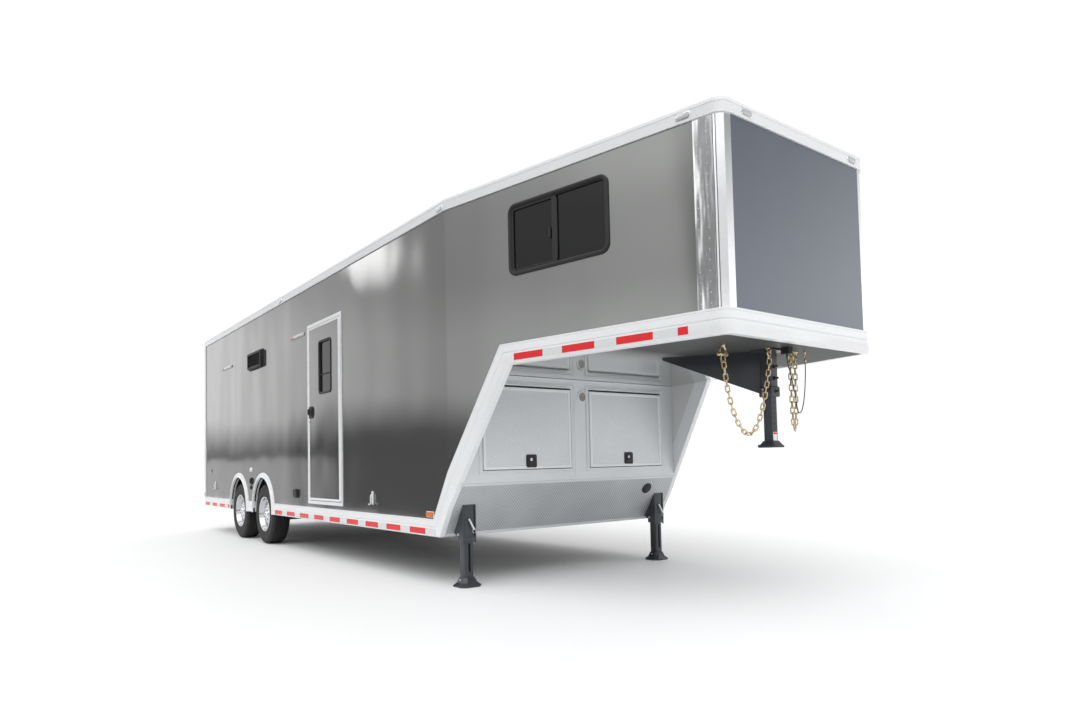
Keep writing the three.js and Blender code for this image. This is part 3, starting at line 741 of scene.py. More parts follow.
darkGlass = glassPaint("darkGlass", (0.012, 0.0125, 0.014), 0.35)
clearLens = lampPaint("clearLens", (0.82, 0.83, 0.85), 0.35)
greyLens = lampPaint("greyLens", (0.34, 0.33, 0.31), 0.1)
redLens = lampPaint("redLens", (0.5, 0.01, 0.012), 0.25)
amberLens = lampPaint("amberLens", (0.9, 0.26, 0.02), 0.2)
tapeRed = tapePaint("tapeRed", (0.78, 0.014, 0.018))
tapeWhite = tapePaint("tapeWhite", (0.74, 0.76, 0.77))
alloy = mirrorPaint("wheelAlloy", (0.6, 0.61, 0.63), 0.16, 0.0)
print("finishes mixed")

# rails along the lower edges, up the slope and round the neck; rows are share of height, out
rail = {"sill": 0.145, "slope": 0.16, "footRun": -0.149, "headRun": 0.676, "back": 0.04,
        "profile": [(0.0, 0.004), (0.02, 0.009), (0.1, 0.0095), (0.12, 0.0115), (0.52, 0.0115),
                    (0.545, 0.0055), (0.575, 0.0055), (0.6, 0.0105), (0.86, 0.0105), (0.875, 0.006),
                    (0.9, 0.006), (0.915, 0.0085), (0.98, 0.0085), (1.0, 0.002)]}
tyreBoxes = [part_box("right_" + end + "_tyre") for end in ("rear", "front")]
arch = {"stations": [(low.x + high.x) / 2 - seam for low, high in tyreBoxes],
        "radius": 0.415, "top": 0.872, "steps": 48,
        "profile": [(0.0, -0.012), (0.0, 0.022), (0.002, 0.0275), (0.007, 0.03), (0.013, 0.0285),
                    (0.018, 0.023), (0.022, 0.0185), (0.052, 0.0165), (0.06, 0.0145),
                    (0.065, 0.008), (0.065, -0.001)]}


def railRings(start, end):
    # cross sections of the rail at each bend between two runs
    low, top = body["railBottom"], body["neckBottom"]
    lean = (rail["headRun"] - rail["footRun"]) / (top - low)
    slant = math.hypot(1, lean)
    section = [(0.0, -rail["back"])] + rail["profile"] + [(1.0, -rail["back"])]
    rings = [[] for _ in range(5)]
    for share, out in section:
        inset = rail["slope"] * share
        sill, neck = low + rail["sill"] * share, top + (body["neckTop"] - top) * share
        slope = lambda z: rail["footRun"] + (z - low) * lean - inset * slant
        line = [(start, sill), (slope(sill), sill),
                (0.0, low + (inset * slant - rail["footRun"]) / lean),
                (slope(neck) / math.cos(taper), neck), (end, neck)]
        for ring, (run, height) in zip(rings, line):
            ring.append((run, out, height))
    return rings


def makeRails():
    edges = [station + turn * arch["radius"] for station in arch["stations"] for turn in (-1, 1)]
    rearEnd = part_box("rear_frame")[1].x - seam
    for name, side in sides.items():
        form = onSkin()
        form.loft(railRings(edges[3], noseMiddle))
        form.wrap(side)
        short = onSkin()
        for start, end in ((rearEnd, edges[0]), (edges[1], edges[2])):
            section = railRings(0, 0)[0]
            short.loft([[(run, out, z) for _, out, z in section] for run in (start, end)])
        short.wrap(side)
        replaced = [name + "_slope_rail"] + (["neck_rail"] if side < 0 else [])
        form.make(name + "_long_rail", "trailer", "trim_aluminium", [whiteTrimLong],
                  replaces=replaced)
        short.make(name + "_short_rails", "trailer", "trim_aluminium", [whiteTrimLong],
                   replaces=[name + "_side_sill"])

        trims = onSkin()
        middle = arch["top"] - arch["radius"]
        for station in arch["stations"]:
            turns = [math.pi * i / arch["steps"] for i in range(arch["steps"] + 1)]
            path = [(0.0, body["railBottom"])] + [(a, middle) for a in turns]
            path.append((math.pi, body["railBottom"]))
            trims.loft([[(station + (arch["radius"] + r) * math.cos(a), out,
                          z + (arch["radius"] + r) * math.sin(a)) for r, out in arch["profile"]]
                        for a, z in path])
        trims.wrap(side)
        trims.make(name + "_arch_trims", "trailer", "trim_aluminium", [whiteTrim])


roofEdge = {"bends": 16, "profile": [  # out and rise from the trim's lower edge
    (0.0005, 0.0), (0.012, 0.0), (0.0125, 0.005), (0.009, 0.0095), (0.009, 0.064), (0.0065, 0.0655),
    (0.0065, 0.068), (0.0095, 0.0695), (0.0085, 0.086), (0.004, 0.095), (-0.004, 0.1),
    (-0.014, 0.102), (-0.06, 0.1012), (-0.06, 0.0)]}


def makeRoofEdge():
    bends = roofEdge["bends"]
    runs = [0.0] + [arcStart + (arcEnd - arcStart) * i / bends for i in range(bends + 1)]
    base = body["trimBottom"]

    def ring(run, side):
        if run is None:
            return [(body["rear"] - out, side * (half + out), base + rise)
                    for out, rise in roofEdge["profile"]]
        return [tuple(skinPoint(run, out, base + rise, side)) for out, rise in roofEdge["profile"]]

    form = onSkin()
    rings = [ring(run, -1) for run in [None] + runs]
    form.loft(rings + [ring(run, 1) for run in runs[::-1] + [None]], loop=True)
    form.make("roof_edge_trim", "trailer", "trim_aluminium", [whiteTrimLong],
              replaces=["roof_trim"])


corner = {"start": 2.2551, "thick": 0.04, "gap": 0.0003, "rivets": 18, "rivetRuns": (2.278, 2.345),
          "rivet": [(0.003, -0.001), (0.003, 0.0008), (0.0021, 0.0022), (0.0006, 0.0028)]}


def makeCorners():
    low, high = body["neckTop"] + 0.0005, body["trimBottom"] - 0.0005
    end = arcEnd - body["noseFlat"] - corner["gap"] - cornerY
    for name, side in sides.items():
        form = onSkin()
        form.box((corner["start"], -corner["thick"], low), (end, 0.0, high))
        form.wrap(side, 20)
        form.make(name + "_corner_sheet", "trailer", "polished_metal", [mirrorMetal],
                  replaces=[name + "_nose_corner"])
        rivets = onSkin()
        for run in corner["rivetRuns"]:
            for i in range(corner["rivets"]):
                z = low + (high - low) * (i + 0.5) / corner["rivets"]
                rivets.loft([[(run + a, out, z + b) for a, b in circle(r, 10)]
                             for r, out in corner["rivet"]])
        rivets.wrap(side)
        rivets.make(name + "_corner_rivets", "trailer", "polished_metal", [mirrorMetal], smooth=60)


makeRails()
makeRoofEdge()
makeCorners()
print("rails, roof edge and corners made")

# rows: height of the middle, and the stations of both ends
tape = {"pitch": 0.4572, "red": 0.2794, "width": 0.05, "out": 0.0118, "thick": 0.0006,
        "rows": [(0.44, -4.311, -0.195), (0.44, -7.9, -6.4), (1.775, 0.748, 2.19)]}


def tapeRun(start, end, last, gap):
    # red and white lengths in turn: tone, start and end of each
    lengths, run = [], start
    while run < end:
        for tone, length in ((0, tape["red"]), (1, tape["pitch"] - tape["red"])):
            stop = min(run + length - gap, last)
            if stop > run + 0.004:
                lengths.append((tone, run, stop))
            run += length
    return lengths


def makeTape():
    wide = tape["width"] / 2
    for name, side in sides.items():
        form = onSkin()
        for z, start, end in tape["rows"]:
            for tone, run, stop in tapeRun(start, end - 0.01, end, 0.0006):
                form.tone = tone
                form.box((run, tape["out"] - 0.001, z - wide),
                         (stop, tape["out"] + tape["thick"], z + wide))
        form.wrap(side)
        form.make(name + "_marking_tape", "trailer", "trim_aluminium", [tapeRed, tapeWhite])


makeTape()

# side windows; rows are inset from the edge, out
window = {"middle": 1.168, "bottom": 2.376, "width": 0.914, "height": 0.54, "radius": 0.07,
          "profile": [(0.0, 0.0004), (0.0, 0.007), (0.003, 0.0115), (0.008, 0.014), (0.02, 0.0135),
                      (0.026, 0.01), (0.029, 0.003), (0.034, 0.002), (0.034, -0.038),
                      (0.0268, -0.038), (0.0268, 0.0004)],
          "sash": [(0.034, -0.005), (0.034, 0.0), (0.036, 0.002), (0.046, 0.002), (0.048, 0.0),
                   (0.048, -0.005)],
          "rim": 0.034, "bar": (1.131, 1.173), "sashPast": 0.082,
          "pull": [((-0.021, -0.02), (0.018, 0.08), (0.0, 0.009), 0.004, 0.002, 0)]}


def makeWindows():
    low = (window["middle"] - window["width"] / 2, window["bottom"])
    high = (window["middle"] + window["width"] / 2, window["bottom"] + window["height"])
    left, right = window["bar"]
    for name, side in sides.items():
        form = onSkin()
        form.frame(low, high, window["radius"], window["profile"], flat, steps=8)
        form.softBox((left, -0.006, low[1] + window["rim"]), (right, 0.004, high[1] - window["rim"]),
                     0.002, "y", 0.002)
        form.frame(low, (left + window["sashPast"], high[1]), window["radius"], window["sash"],
                   flat, steps=8)
        form.pads("y", (left, (low[1] + high[1]) / 2), window["pull"])
        form.wrap(side)
        form.make(name + "_window_surround", "trailer", "black_plastic", [mouldedAndShade],
                  replaces=[name + "_window_frame"])


makeWindows()

# entry door, with its frame, hinge and latch
door = {"hinge": (-2.184, -1.313), "hingeRadius": 0.0065, "knuckle": 0.075,
        "hingeEdge": (0.001, 0.0012), "hingeGap": 0.0008, "hingeInset": 0.01, "barShare": 0.36,
        # place, size, depth, radius, softness and paint of each step of the latch
        "latch": (-3.013, 1.6155),
        "latchSteps": [((0, 0), (0.126, 0.135), (-0.001, 0.008), 0.016, 0.0025, 0),
                       ((0.002, 0.006), (0.094, 0.087), (0.006, 0.02), 0.008, 0.004, 0),
                       ((-0.018, 0.006), (0.034, 0.063), (0.018, 0.034), 0.006, 0.004, 0)],
        "lock": (-3.063, 1.522),
        "lockProfile": [(0.0135, 0.001), (0.0135, -0.006), (0.011475, -0.009), (0.00405, -0.0095)],
        "profile": [(0.0, -0.04), (0.0, 0.005), (0.003, 0.008), (0.013, 0.008), (0.0145, 0.006),
                    (0.017, 0.006), (0.0185, 0.008), (0.034, 0.008), (0.037, 0.005), (0.037, -0.04)],
        "leafEdge": [(0.0, 0.0), (0.0, 0.0012), (0.002, 0.0028), (0.02, 0.0028), (0.024, 0.0004),
                     (0.024, 0.0)],
        "glassEdge": [(0.0, 0.0004), (0.0, 0.006), (0.003, 0.0085), (0.014, 0.0085), (0.02, 0.005),
                      (0.024, 0.001), (0.024, -0.032), (0.0184, -0.032), (0.0184, 0.0004)]}


def makeDoor():
    low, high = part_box("entry_door_frame")
    onFace = lambda base: (lambda a, out, b: (a, base - out, b))
    form = Form()
    form.frame((low.x - seam, low.z), (high.x - seam, high.z), 0.003, door["profile"],
               onFace(-half), steps=2)
    form.make("door_surround", "trailer", "trim_aluminium", [whiteTrim], replaces=["entry_door_frame"])

    low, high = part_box("entry_door")
    face = low.y
    form = Form()
    form.frame((low.x - seam, low.z), (high.x - seam, high.z), 0.004, door["leafEdge"],
               onFace(face), steps=2)
    form.make("door_edging", "entry_door", "trim_aluminium", [whiteTrim])

    wLow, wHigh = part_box("entry_window_frame")
    form = Form()
    form.frame((wLow.x - seam, wLow.z), (wHigh.x - seam, wHigh.z), 0.045, door["glassEdge"],
               onFace(face), steps=8)
    bar = wLow.z + (wHigh.z - wLow.z) * door["barShare"]
    form.softBox((wLow.x - seam + 0.02, face + 0.004, bar),
                 (wHigh.x - seam - 0.02, face + 0.012, bar + 0.012), 0.002, "y", 0.001)
    form.make("door_window_surround", "entry_door", "black_plastic", [mouldedAndShade],
              replaces=["entry_window_frame"])

    x, y = door["hinge"]
    forms = {"trailer": Form(), "entry_door": Form()}
    foot, head, knuckle = low.z + door["hingeInset"], high.z - door["hingeInset"], door["knuckle"]
    for i in range(int((head - foot) / knuckle)):
        forms["trailer" if i % 2 else "entry_door"].barrel(
            door["hingeRadius"], foot + i * knuckle, knuckle, (x, y, 0), "z", door["hingeEdge"],
            door["hingeGap"])
    forms["trailer"].box((x + 0.001, y + 0.0045, foot), (x + 0.03, y + 0.0075, head))
    forms["entry_door"].box((x - 0.03, y + 0.0045, foot), (x - 0.007, y + 0.0075, head))
    for owner, form in forms.items():
        form.make(owner + "_hinge_leaf", owner, "trim_aluminium", [whiteTrim])

    form = Form().pads("y", door["latch"], door["latchSteps"], face, -1)
    form.make("door_latch", "entry_door", "black_plastic", [mouldedAndShade])
    x, z = door["lock"]
    form = Form().turned(door["lockProfile"], (x, face, z), "y", 24)
    form.tone = 1
    form.box((x - 0.0015, face - 0.0102, z - 0.006), (x + 0.0015, face - 0.009, z + 0.006))
    form.make("door_lock", "entry_door", "polished_metal", [brightChrome, mouldedAndShade])


makeDoor()
print("windows and door made")

# lamps and small fittings on the skins
markers = {"size": (0.1, 0.042), "out": 0.009,
           "stations": [(-0.069, 3.094), (-4.066, 3.096), (2.196, 3.1)], "noseSides": [-0.577, 0.639],
           "noseHeight": 3.1, "rearSides": [-0.2, 0.0, 0.2, -1.1, 1.1]}
barLamps = {"height": 0.04, "red": 0.12, "gap": 0.004, "rim": 0.006, "end": 0.01, "out": 0.022,
            "rows": [(-3.703, -3.253, 2.535), (-6.846, -6.331, 2.523)]}
# rows of place, size, depth off the skin, radius, softness and paint
amber = {"at": (-0.3045, 0.5815),
         "steps": [((0, 0), (0.117, 0.051), (0.0, 0.006), 0.006, 0.002, 0),
                   ((0, 0), (0.109, 0.043), (0.005, 0.016), 0.006, 0.004, 3)]}
cornerLamp = {"at": (-7.958, 0.588), "steps": [((0, 0), (0.04, 0.07), (0.0, 0.014), 0.008, 0.004, 2)]}
hood = {"low": (-5.405, 2.352), "high": (-4.785, 2.6), "out": 0.045, "rim": 0.012, "louvres": 7,
        "profile": [(0, 0.01), (0, 0.037), (0.008, 0.045), (0.03, 0.045), (0.034, 0.039),
                    (0.034, 0.01)]}
inlet = {"at": (-3.534, 0.6895),
         "steps": [((0, 0), (0.158, 0.105), (0.0, 0.01), 0.012, 0.003, 0),
                   ((0, 0), (0.118, 0.081), (0.009, 0.028), 0.02, 0.006, 0),
                   ((0, 0.0415), (0.098, 0.01), (0.012, 0.032), 0.004, 0.002, 0)]}
hooks = {"places": [(-7.283, 0.74), (-1.421, 0.69)], "radius": 0.006,
         "plate": [((0, 0), (0.03, 0.13), (0.0, 0.008), 0.01, 0.002, 0)],
         "bend": [(0.008, 0.039), (0.022, 0.026), (0.024, -0.013), (0.024, -0.052),
                  (0.036, -0.065), (0.046, -0.052)]}
roundLamp = {"at": (-5.354, 0.978), "flatten": 0.62,
             "profile": [(0.052, 0.0), (0.052, 0.006), (0.044, 0.016), (0.02, 0.02)]}
plug = {"at": (-5.342, 0.823),
        "steps": [((0, 0), (0.07, 0.1), (0.0, 0.01), 0.014, 0.003, 0),
                  ((0, 0.003), (0.044, 0.066), (0.009, 0.028), 0.012, 0.005, 0)]}
gland = {"at": (-5.366, 0.735), "profile": [(0.028, 0.0), (0.028, 0.008), (0.022, 0.014),
                                            (0.012, 0.015), (0.01, 0.008)]}
port = {"at": (-7.569, 0.97),
        "steps": [((0, 0), (0.1, 0.07), (0.0, 0.004), 0.01, 0.0015, 2),
                  ((0, 0), (0.084, 0.056), (0.004, 0.0055), 0.008, 0.0008, 2)]}


def oval(forms, run, z):
    # a low moulded lens with its rim, as a flat piece on the skin
    (width, height), out, base = markers["size"], markers["out"], 0.009
    for form, grow, rises in zip(forms, (0.004, 0.0), ((0.0, 0.003, 0.005), (0.003, out * 0.7, out))):
        rings = []
        for rise, inset in zip(rises, (0, 0.001, 0.006)):
            wide, high = width / 2 - inset + grow, height / 2 - inset + grow
            ring = roundBox((run - wide, z - high), (run + wide, z + high), high - 0.0005, 8)
            rings.append([(a, base + rise, b) for a, b in ring])
        form.loft(rings)


def makeMarkers(name, rim, lens):
    rim.make(name + "_marker_rims", "trailer", "polished_metal", [brightChrome])
    lens.make(name + "_marker_lenses", "trailer", "tinted_glass", [clearLens], smooth=60)


def makeLamps():
    for name, side in sides.items():
        rim, lens = onSkin(), onSkin()
        for run, z in markers["stations"]:
            oval((rim, lens), run, z)
        makeMarkers(name, rim.wrap(side), lens.wrap(side))
    rim, lens = onSkin(), onSkin()
    for face, way, places in ((body["nose"], 1, markers["noseSides"]),
                              (body["rear"], -1, markers["rearSides"])):
        rim.at = lens.at = Matrix(((0, way, 0, face), (1, 0, 0, 0), (0, 0, 1, 0), (0, 0, 0, 1)))
        for y in places:
            oval((rim, lens), y, markers["noseHeight"])
    makeMarkers("end", rim, lens)

    for name, side in sides.items():
        form = onSkin()
        for start, end, z in barLamps["rows"]:
            top, rim = z + barLamps["height"], barLamps["rim"]
            form.tone = 0
            form.softBox((start, 0.0, z), (end, 0.012, top), 0.008, "y", 0.003)
            first, last = start + barLamps["end"], end - barLamps["end"]
            split = first + barLamps["red"]
            for tone, a, b in ((2, first, split), (1, split + barLamps["gap"], last)):
                form.tone = tone
                form.softBox((a, 0.01, z + rim), (b, barLamps["out"], top - rim), 0.006, "y", 0.004)
        for lamp in (amber, cornerLamp):
            form.pads("y", lamp["at"], lamp["steps"])
        form.wrap(side)
        form.make(name + "_skin_lamps", "trailer", "tinted_glass",
                  [whitePlastic, clearLens, redLens, amberLens])


def roundFitting(form, look):
    run, z = look["at"]
    flatten = look.get("flatten", 1.0)
    form.loft([[(run + a, out, z + b * flatten) for a, b in circle(r, 24)]
               for r, out in look["profile"]])


def makeFittings():
    low, high, out, rim = hood["low"], hood["high"], hood["out"], hood["rim"]
    form = onSkin()
    form.softBox((low[0], 0.0, low[1]), (high[0], 0.012, high[1]), 0.03, "y", 0.003)
    form.frame((low[0] + rim, low[1] + rim), (high[0] - rim, high[1] - rim), 0.024,
               hood["profile"], flat)
    pitch = (high[1] - low[1] - 0.1) / hood["louvres"]
    for i in range(hood["louvres"]):
        z = low[1] + 0.05 + pitch * (i + 0.2)
        blade = [(0.012, z), (0.014, z + 0.004), (out - 0.004, z - 0.012), (out - 0.006, z - 0.016)]
        form.loft([[(run, o, b) for o, b in blade] for run in (low[0] + 0.045, high[0] - 0.045)])
    form.wrap(-1).make("vent_hood", "trailer", "black_plastic", [mouldedAndShade])

    form = onSkin().pads("y", inlet["at"], inlet["steps"])
    form.wrap(-1).make("power_inlet", "trailer", "black_plastic", [mouldedAndShade])

    form = onSkin()
    for run, z in hooks["places"]:
        form.pads("y", (run, z), hooks["plate"])
        form.tube([(run, out, z + rise) for out, rise in hooks["bend"]], hooks["radius"], 10)
    form.wrap(-1).make("awning_hooks", "trailer", "polished_metal", [whitePlastic], smooth=50)

    form = onSkin()
    form.tone = 1
    roundFitting(form, roundLamp)
    form.pads("y", plug["at"], plug["steps"])
    roundFitting(form, gland)
    form.pads("y", port["at"], port["steps"])
    form.wrap(-1).make("side_fittings", "trailer", "black_plastic",
                       [mouldedAndShade, whitePlastic, sideSkin], smooth=50)


makeLamps()
makeFittings()
print("lamps and fittings made")

# the hatches in the bulkhead under the nose
hatches = {"profile": [(0.0, 0.0), (0.0, 0.003), (0.003, 0.0055), (0.022, 0.0055), (0.026, 0.002),
                       (0.026, 0.0)],
           "rim": [(-0.003, 0.0), (-0.003, 0.008), (0.002, 0.0105), (0.008, 0.0105), (0.011, 0.0075),
                   (0.019, 0.0075), (0.022, 0.0105), (0.027, 0.0105), (0.0295, 0.0085), (0.0295, 0.0)],
           "rimLow": (0.077, 0.905), "rimHigh": (1.08, 1.675),
           "latches": {"right": (-0.558, 1.007), "left": (0.594, 1.017)},
           "latchSteps": [((0, 0), (0.112, 0.112), (0.0, 0.007), 0.016, 0.0025, 0),
                          ((0, -0.01008), (0.08064, 0.06496), (0.006, 0.016), 0.01, 0.005, 0)],
           "button": (-0.0112, 0.01344),
           "buttonProfile": [(0.012, 0.006), (0.012, 0.019), (0.0095, 0.0215), (0.002, 0.022)],
           "hinge": 0.006, "hingeEdge": (0.001, 0.001), "hingeGap": 0.0006, "knuckles": 10,
           "hingeOut": 0.008, "hingeUp": 0.0235,
           "post": 0.128, "postLow": 0.86, "postHigh": 1.7, "margin": 0.045,
           "lampAt": (0.029, 1.575), "lampRadius": 0.055,
           # share of the radius, out
           "bezel": [(1, 0), (1, 0.006), (0.94, 0.011), (0.76, 0.011), (0.72, 0.004)],
           "lens": [(0.74, 0.003), (0.7, 0.008), (0.4, 0.011), (0.05, 0.0115)]}
guard = {"side": 0.907, "height": 0.72, "radius": 0.055, "margin": 0.05, "strip": 0.0022,
         "portProfile": [(1, 0.0), (1, 0.008), (0.9, 0.014), (0.62, 0.014), (0.58, 0.02), (0.2, 0.022)],
         "screws": 29, "screwMargin": 0.06, "screwsUp": (0.017, 0.012),
         "screwProfile": [(0.005, 0.002), (0.0045, 0.0036), (0.002, 0.0046)]}


def makeBulkhead():
    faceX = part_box("front_bulkhead")[1].x - 0.006 - seam
    spot = lambda base: (lambda a, out, b: (base + out, a, b))
    for name, side in sides.items():
        low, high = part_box(name + "_hatch_door")
        form = Form()
        form.frame((low.y, low.z), (high.y, high.z), 0.004, hatches["profile"],
                   spot(high.x - seam), steps=2)
        form.make(name + "_hatch_edging", name + "_hatch", "trim_aluminium", [whiteTrim])

        y, z = hatches["latches"][name]
        base = high.x - seam
        form = Form().pads("x", (y, z), hatches["latchSteps"], base)
        form.tone = 1
        a, b = hatches["button"]
        form.turned([(r, base + out) for r, out in hatches["buttonProfile"]], (0, y + a, z + b),
                    "x", 20)
        form.make(name + "_hatch_latch", name + "_hatch", "black_plastic", [mouldedAndShade, brightChrome])

        form = Form()
        (y0, z0), (y1, z1) = hatches["rimLow"], hatches["rimHigh"]
        y0, y1 = sorted((side * y0, side * y1))
        form.frame((y0, z0), (y1, z1), 0.003, hatches["rim"], spot(faceX - 0.002), steps=2)
        run = (high.y - low.y - 0.06) / hatches["knuckles"]
        for i in range(hatches["knuckles"]):
            form.barrel(hatches["hinge"], low.y + 0.03 + i * run, run,
                        (faceX + hatches["hingeOut"], 0, high.z + hatches["hingeUp"]), "y",
                        hatches["hingeEdge"], hatches["hingeGap"], 12)
        form.make(name + "_hatch_surround", "trailer", "trim_aluminium", [bulkheadWhite])

    form = Form()
    width = hatches["post"] / 2
    low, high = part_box("front_bulkhead")
    form.softBox((faceX - 0.001, -width, hatches["postLow"]),
                 (faceX + 0.0025, width, hatches["postHigh"]), 0.003, "x", 0.001, 2)
    inner = half - hatches["margin"]
    back, front, lip = faceX - 0.001, faceX + 0.003, inner - 0.05
    form.box((back, -inner, high.z - 0.026), (front, inner, high.z - 0.001))
    form.box((front, -lip, high.z - 0.005), (faceX + 0.026, lip, high.z - 0.002))
    form.box((back, -inner, low.z + 0.001), (front, inner, low.z + 0.024))
    form.make("bulkhead_trims", "trailer", "bulkhead_skin", [bulkheadWhite])

    y, z = hatches["lampAt"]
    r, base = hatches["lampRadius"], faceX + 0.0025
    form = Form()
    for tone, part in enumerate(("bezel", "lens")):
        form.tone = tone
        form.turned([(r * share, base + out) for share, out in hatches[part]], (0, y, z), "x", 40)
    form.make("bulkhead_lamp", "trailer", "tinted_glass", [whitePlastic, greyLens], smooth=50)


def guardTurn():
    # stands on the sloped panel: x up the slope, y to the left, z off the sheet
    low = body["railBottom"]
    lean = math.atan((rail["headRun"] - rail["footRun"]) / (body["neckBottom"] - low))
    up = Vector((math.sin(lean), 0, math.cos(lean)))
    off = Vector((math.cos(lean), 0, -math.sin(lean)))
    turn = Matrix((up, Vector((0, 1, 0)), off)).transposed().to_4x4()
    return Matrix.Translation((seam + rail["footRun"], 0, low)) @ turn, math.cos(lean)


def makeGuard():
    at, drop = guardTurn()
    form = Form(at)
    r, up = guard["radius"], (guard["height"] - body["railBottom"]) / drop
    form.turned([(r * share, out) for share, out in guard["portProfile"]], (up, guard["side"], 0),
                "z", 36)
    form.make("guard_port", "trailer", "black_plastic", [mouldedAndShade], smooth=50)

    form = Form(at)
    inner, top = half - guard["margin"], (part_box("lower_front_panel")[1].z - body["railBottom"]) / drop
    form.box((0.004, -inner, 0.0), (0.03, inner, guard["strip"]))
    form.box((top - 0.024, -inner, 0.0), (top - 0.001, inner, guard["strip"]))
    form.tone = 1
    spans, (below, above) = guard["screws"] - 1, guard["screwsUp"]
    for i in range(guard["screws"]):
        y = (i - spans / 2) * (2 * inner - guard["screwMargin"]) / spans
        for u in (below, top - above):
            form.turned(guard["screwProfile"], (u, y, 0), "z", 10)
    form.make("guard_edging", "trailer", "stone_guard", [bulkheadWhite, brightChrome], smooth=50)


makeBulkhead()
makeGuard()
print("bulkhead and guard made")

# landing jacks, one on each side of the trailer
jack = {"station": -0.039, "side": half - 0.181, "tube": 0.1, "top": 1.15, "cut": 0.668,
        "joint": 0.372, "leg": 0.084, "slot": (0.118, 0.35), "slotWidth": 0.02, "foot": 0.2,
        "footFlare": 0.075, "plate": 0.012, "bracket": 0.012, "pin": 0.009}


def makeJack(name, side):
    x, y = jack["station"], jack["side"] * side
    t, leg = jack["tube"] / 2, jack["leg"] / 2
    form = Form()
    low, high = jack["joint"], jack["top"]

    def tube(r, z):
        return [(x + a, y + b, z) for a, b in roundBox((-r, -r), (r, r), 0.012, 4)]

    form.loft([tube(t, low), tube(t, high)])
    form.loft([tube(t + 0.006, low - 0.004), tube(t + 0.006, low + 0.03)])
    wide, back, cut = t + jack["bracket"], 0.045, jack["cut"]
    outline = [(x - t - back, low + 0.06), (x + t + 0.004, low - 0.02), (x + t + 0.004, cut),
               (x + t - 0.05, cut), (x - t - back, low + 0.2)]
    for face in (-1, 1):
        form.prism(outline, "y", *sorted((y + face * t, y + face * wide)))
    form.box((x + t - 0.002, y - wide, cut - 0.012), (x + t + 0.004, y + wide, cut))
    form.make(name + "_jack_housing", "trailer", "jack_paint", [jackPaint], bevel=0.002,
              replaces=[name + "_jack"])
    form = Form()
    form.loft([tube(leg, 0.045), tube(leg, low + 0.01)])
    legPiece = form.make(name + "_jack_leg", "trailer", "jack_paint", [jackPaint])
    (foot, head), w = jack["slot"], jack["slotWidth"] / 2
    slot = roundBox((y - w, foot), (y + w, head), w - 0.0005, 6)
    carve(legPiece, Form().prism(slot, "x", x + 0.02, x + 0.08))

    f = jack["foot"] / 2
    form = Form()

    def footRing(r, z):
        return [(x + a, y + b, z) for a, b in roundBox((-r, -r), (r, r), r * 0.42, 1)]

    form.loft([footRing(f - 0.004, 0.0), footRing(f, 0.004), footRing(f, jack["plate"]),
               footRing(f - 0.012, jack["plate"] + 0.01), footRing(leg + 0.03, 0.034),
               footRing(leg + 0.012, jack["footFlare"])])
    form.tone = 1
    form.rod((x, y - leg - 0.026, 0.055), (x, y + leg + 0.026, 0.055), jack["pin"])
    form.make(name + "_jack_foot", "trailer", "jack_paint", [jackPaint, brightZinc], bevel=0.0015)

    form = Form()
    front, pin = x + t, jack["pin"]
    form.rod((front - 0.02, y - wide - 0.026, cut - 0.02), (front - 0.02, y + wide + 0.01, cut - 0.02),
             pin)
    form.rod((front + 0.012, y - 0.012, 0.55), (front + 0.026, y + 0.03, 0.46), pin)
    ring = [(front + 0.026, y + 0.03 + 0.016 * a, 0.45 + 0.016 * b) for a, b in circle(1, 16)]
    form.tube(ring, 0.002, 6, loop=True)
    for z in (0.6, 0.42):
        for face in (-1, 1):
            form.turned([(0.011, 0.0), (0.011, face * 0.007), (0.009, face * 0.009)],
                        (x - 0.02, y + face * wide, z), "y", 6)
    form.make(name + "_jack_pins", "trailer", "plated_chain", [brightZinc], smooth=40)


for name, side in sides.items():
    makeJack(name, side)
print("jacks made")

# coupler under the nose, with wings below the neck floor
coupler = {"station": 2.105, "sleeve": 0.084, "tube": 0.066, "sleeveLow": 1.405, "base": 1.06,
           "baseSize": 0.13, "collar": 0.062, "bolts": (1.61, 1.53, 1.44), "holes": 7,
           "nut": [(0.014, -0.002), (0.014, 0.012)],
           "shank": [(0.007, 0.01), (0.007, 0.03), (0.005, 0.033)],
           "pinUp": 0.034, "pin": 0.008, "pinEnds": (0.036, 0.03), "clipWire": 0.0018,
           "clip": [(0.028, 0.02), (0.028, -0.02), (0.034, -0.028), (0.04, -0.02), (0.034, 0.0),
                    (0.04, 0.02)],
           "holeUp": 0.09, "holePitch": 0.036, "hole": 0.0075,
           "label": (0, 1.135),
           "labelSteps": [((0, 0), (0.044, 0.06), (-0.001, 0.0006), 0.004, 0.0002, 0),
                          ((0, 0.0205), (0.04, 0.013), (-0.001, 0.0009), 0.002, 0.0002, 1)],
           "tipBack": 0.625, "tipSide": 0.375, "tipHeight": 0.02, "plate": 0.012, "flange": 0.03}


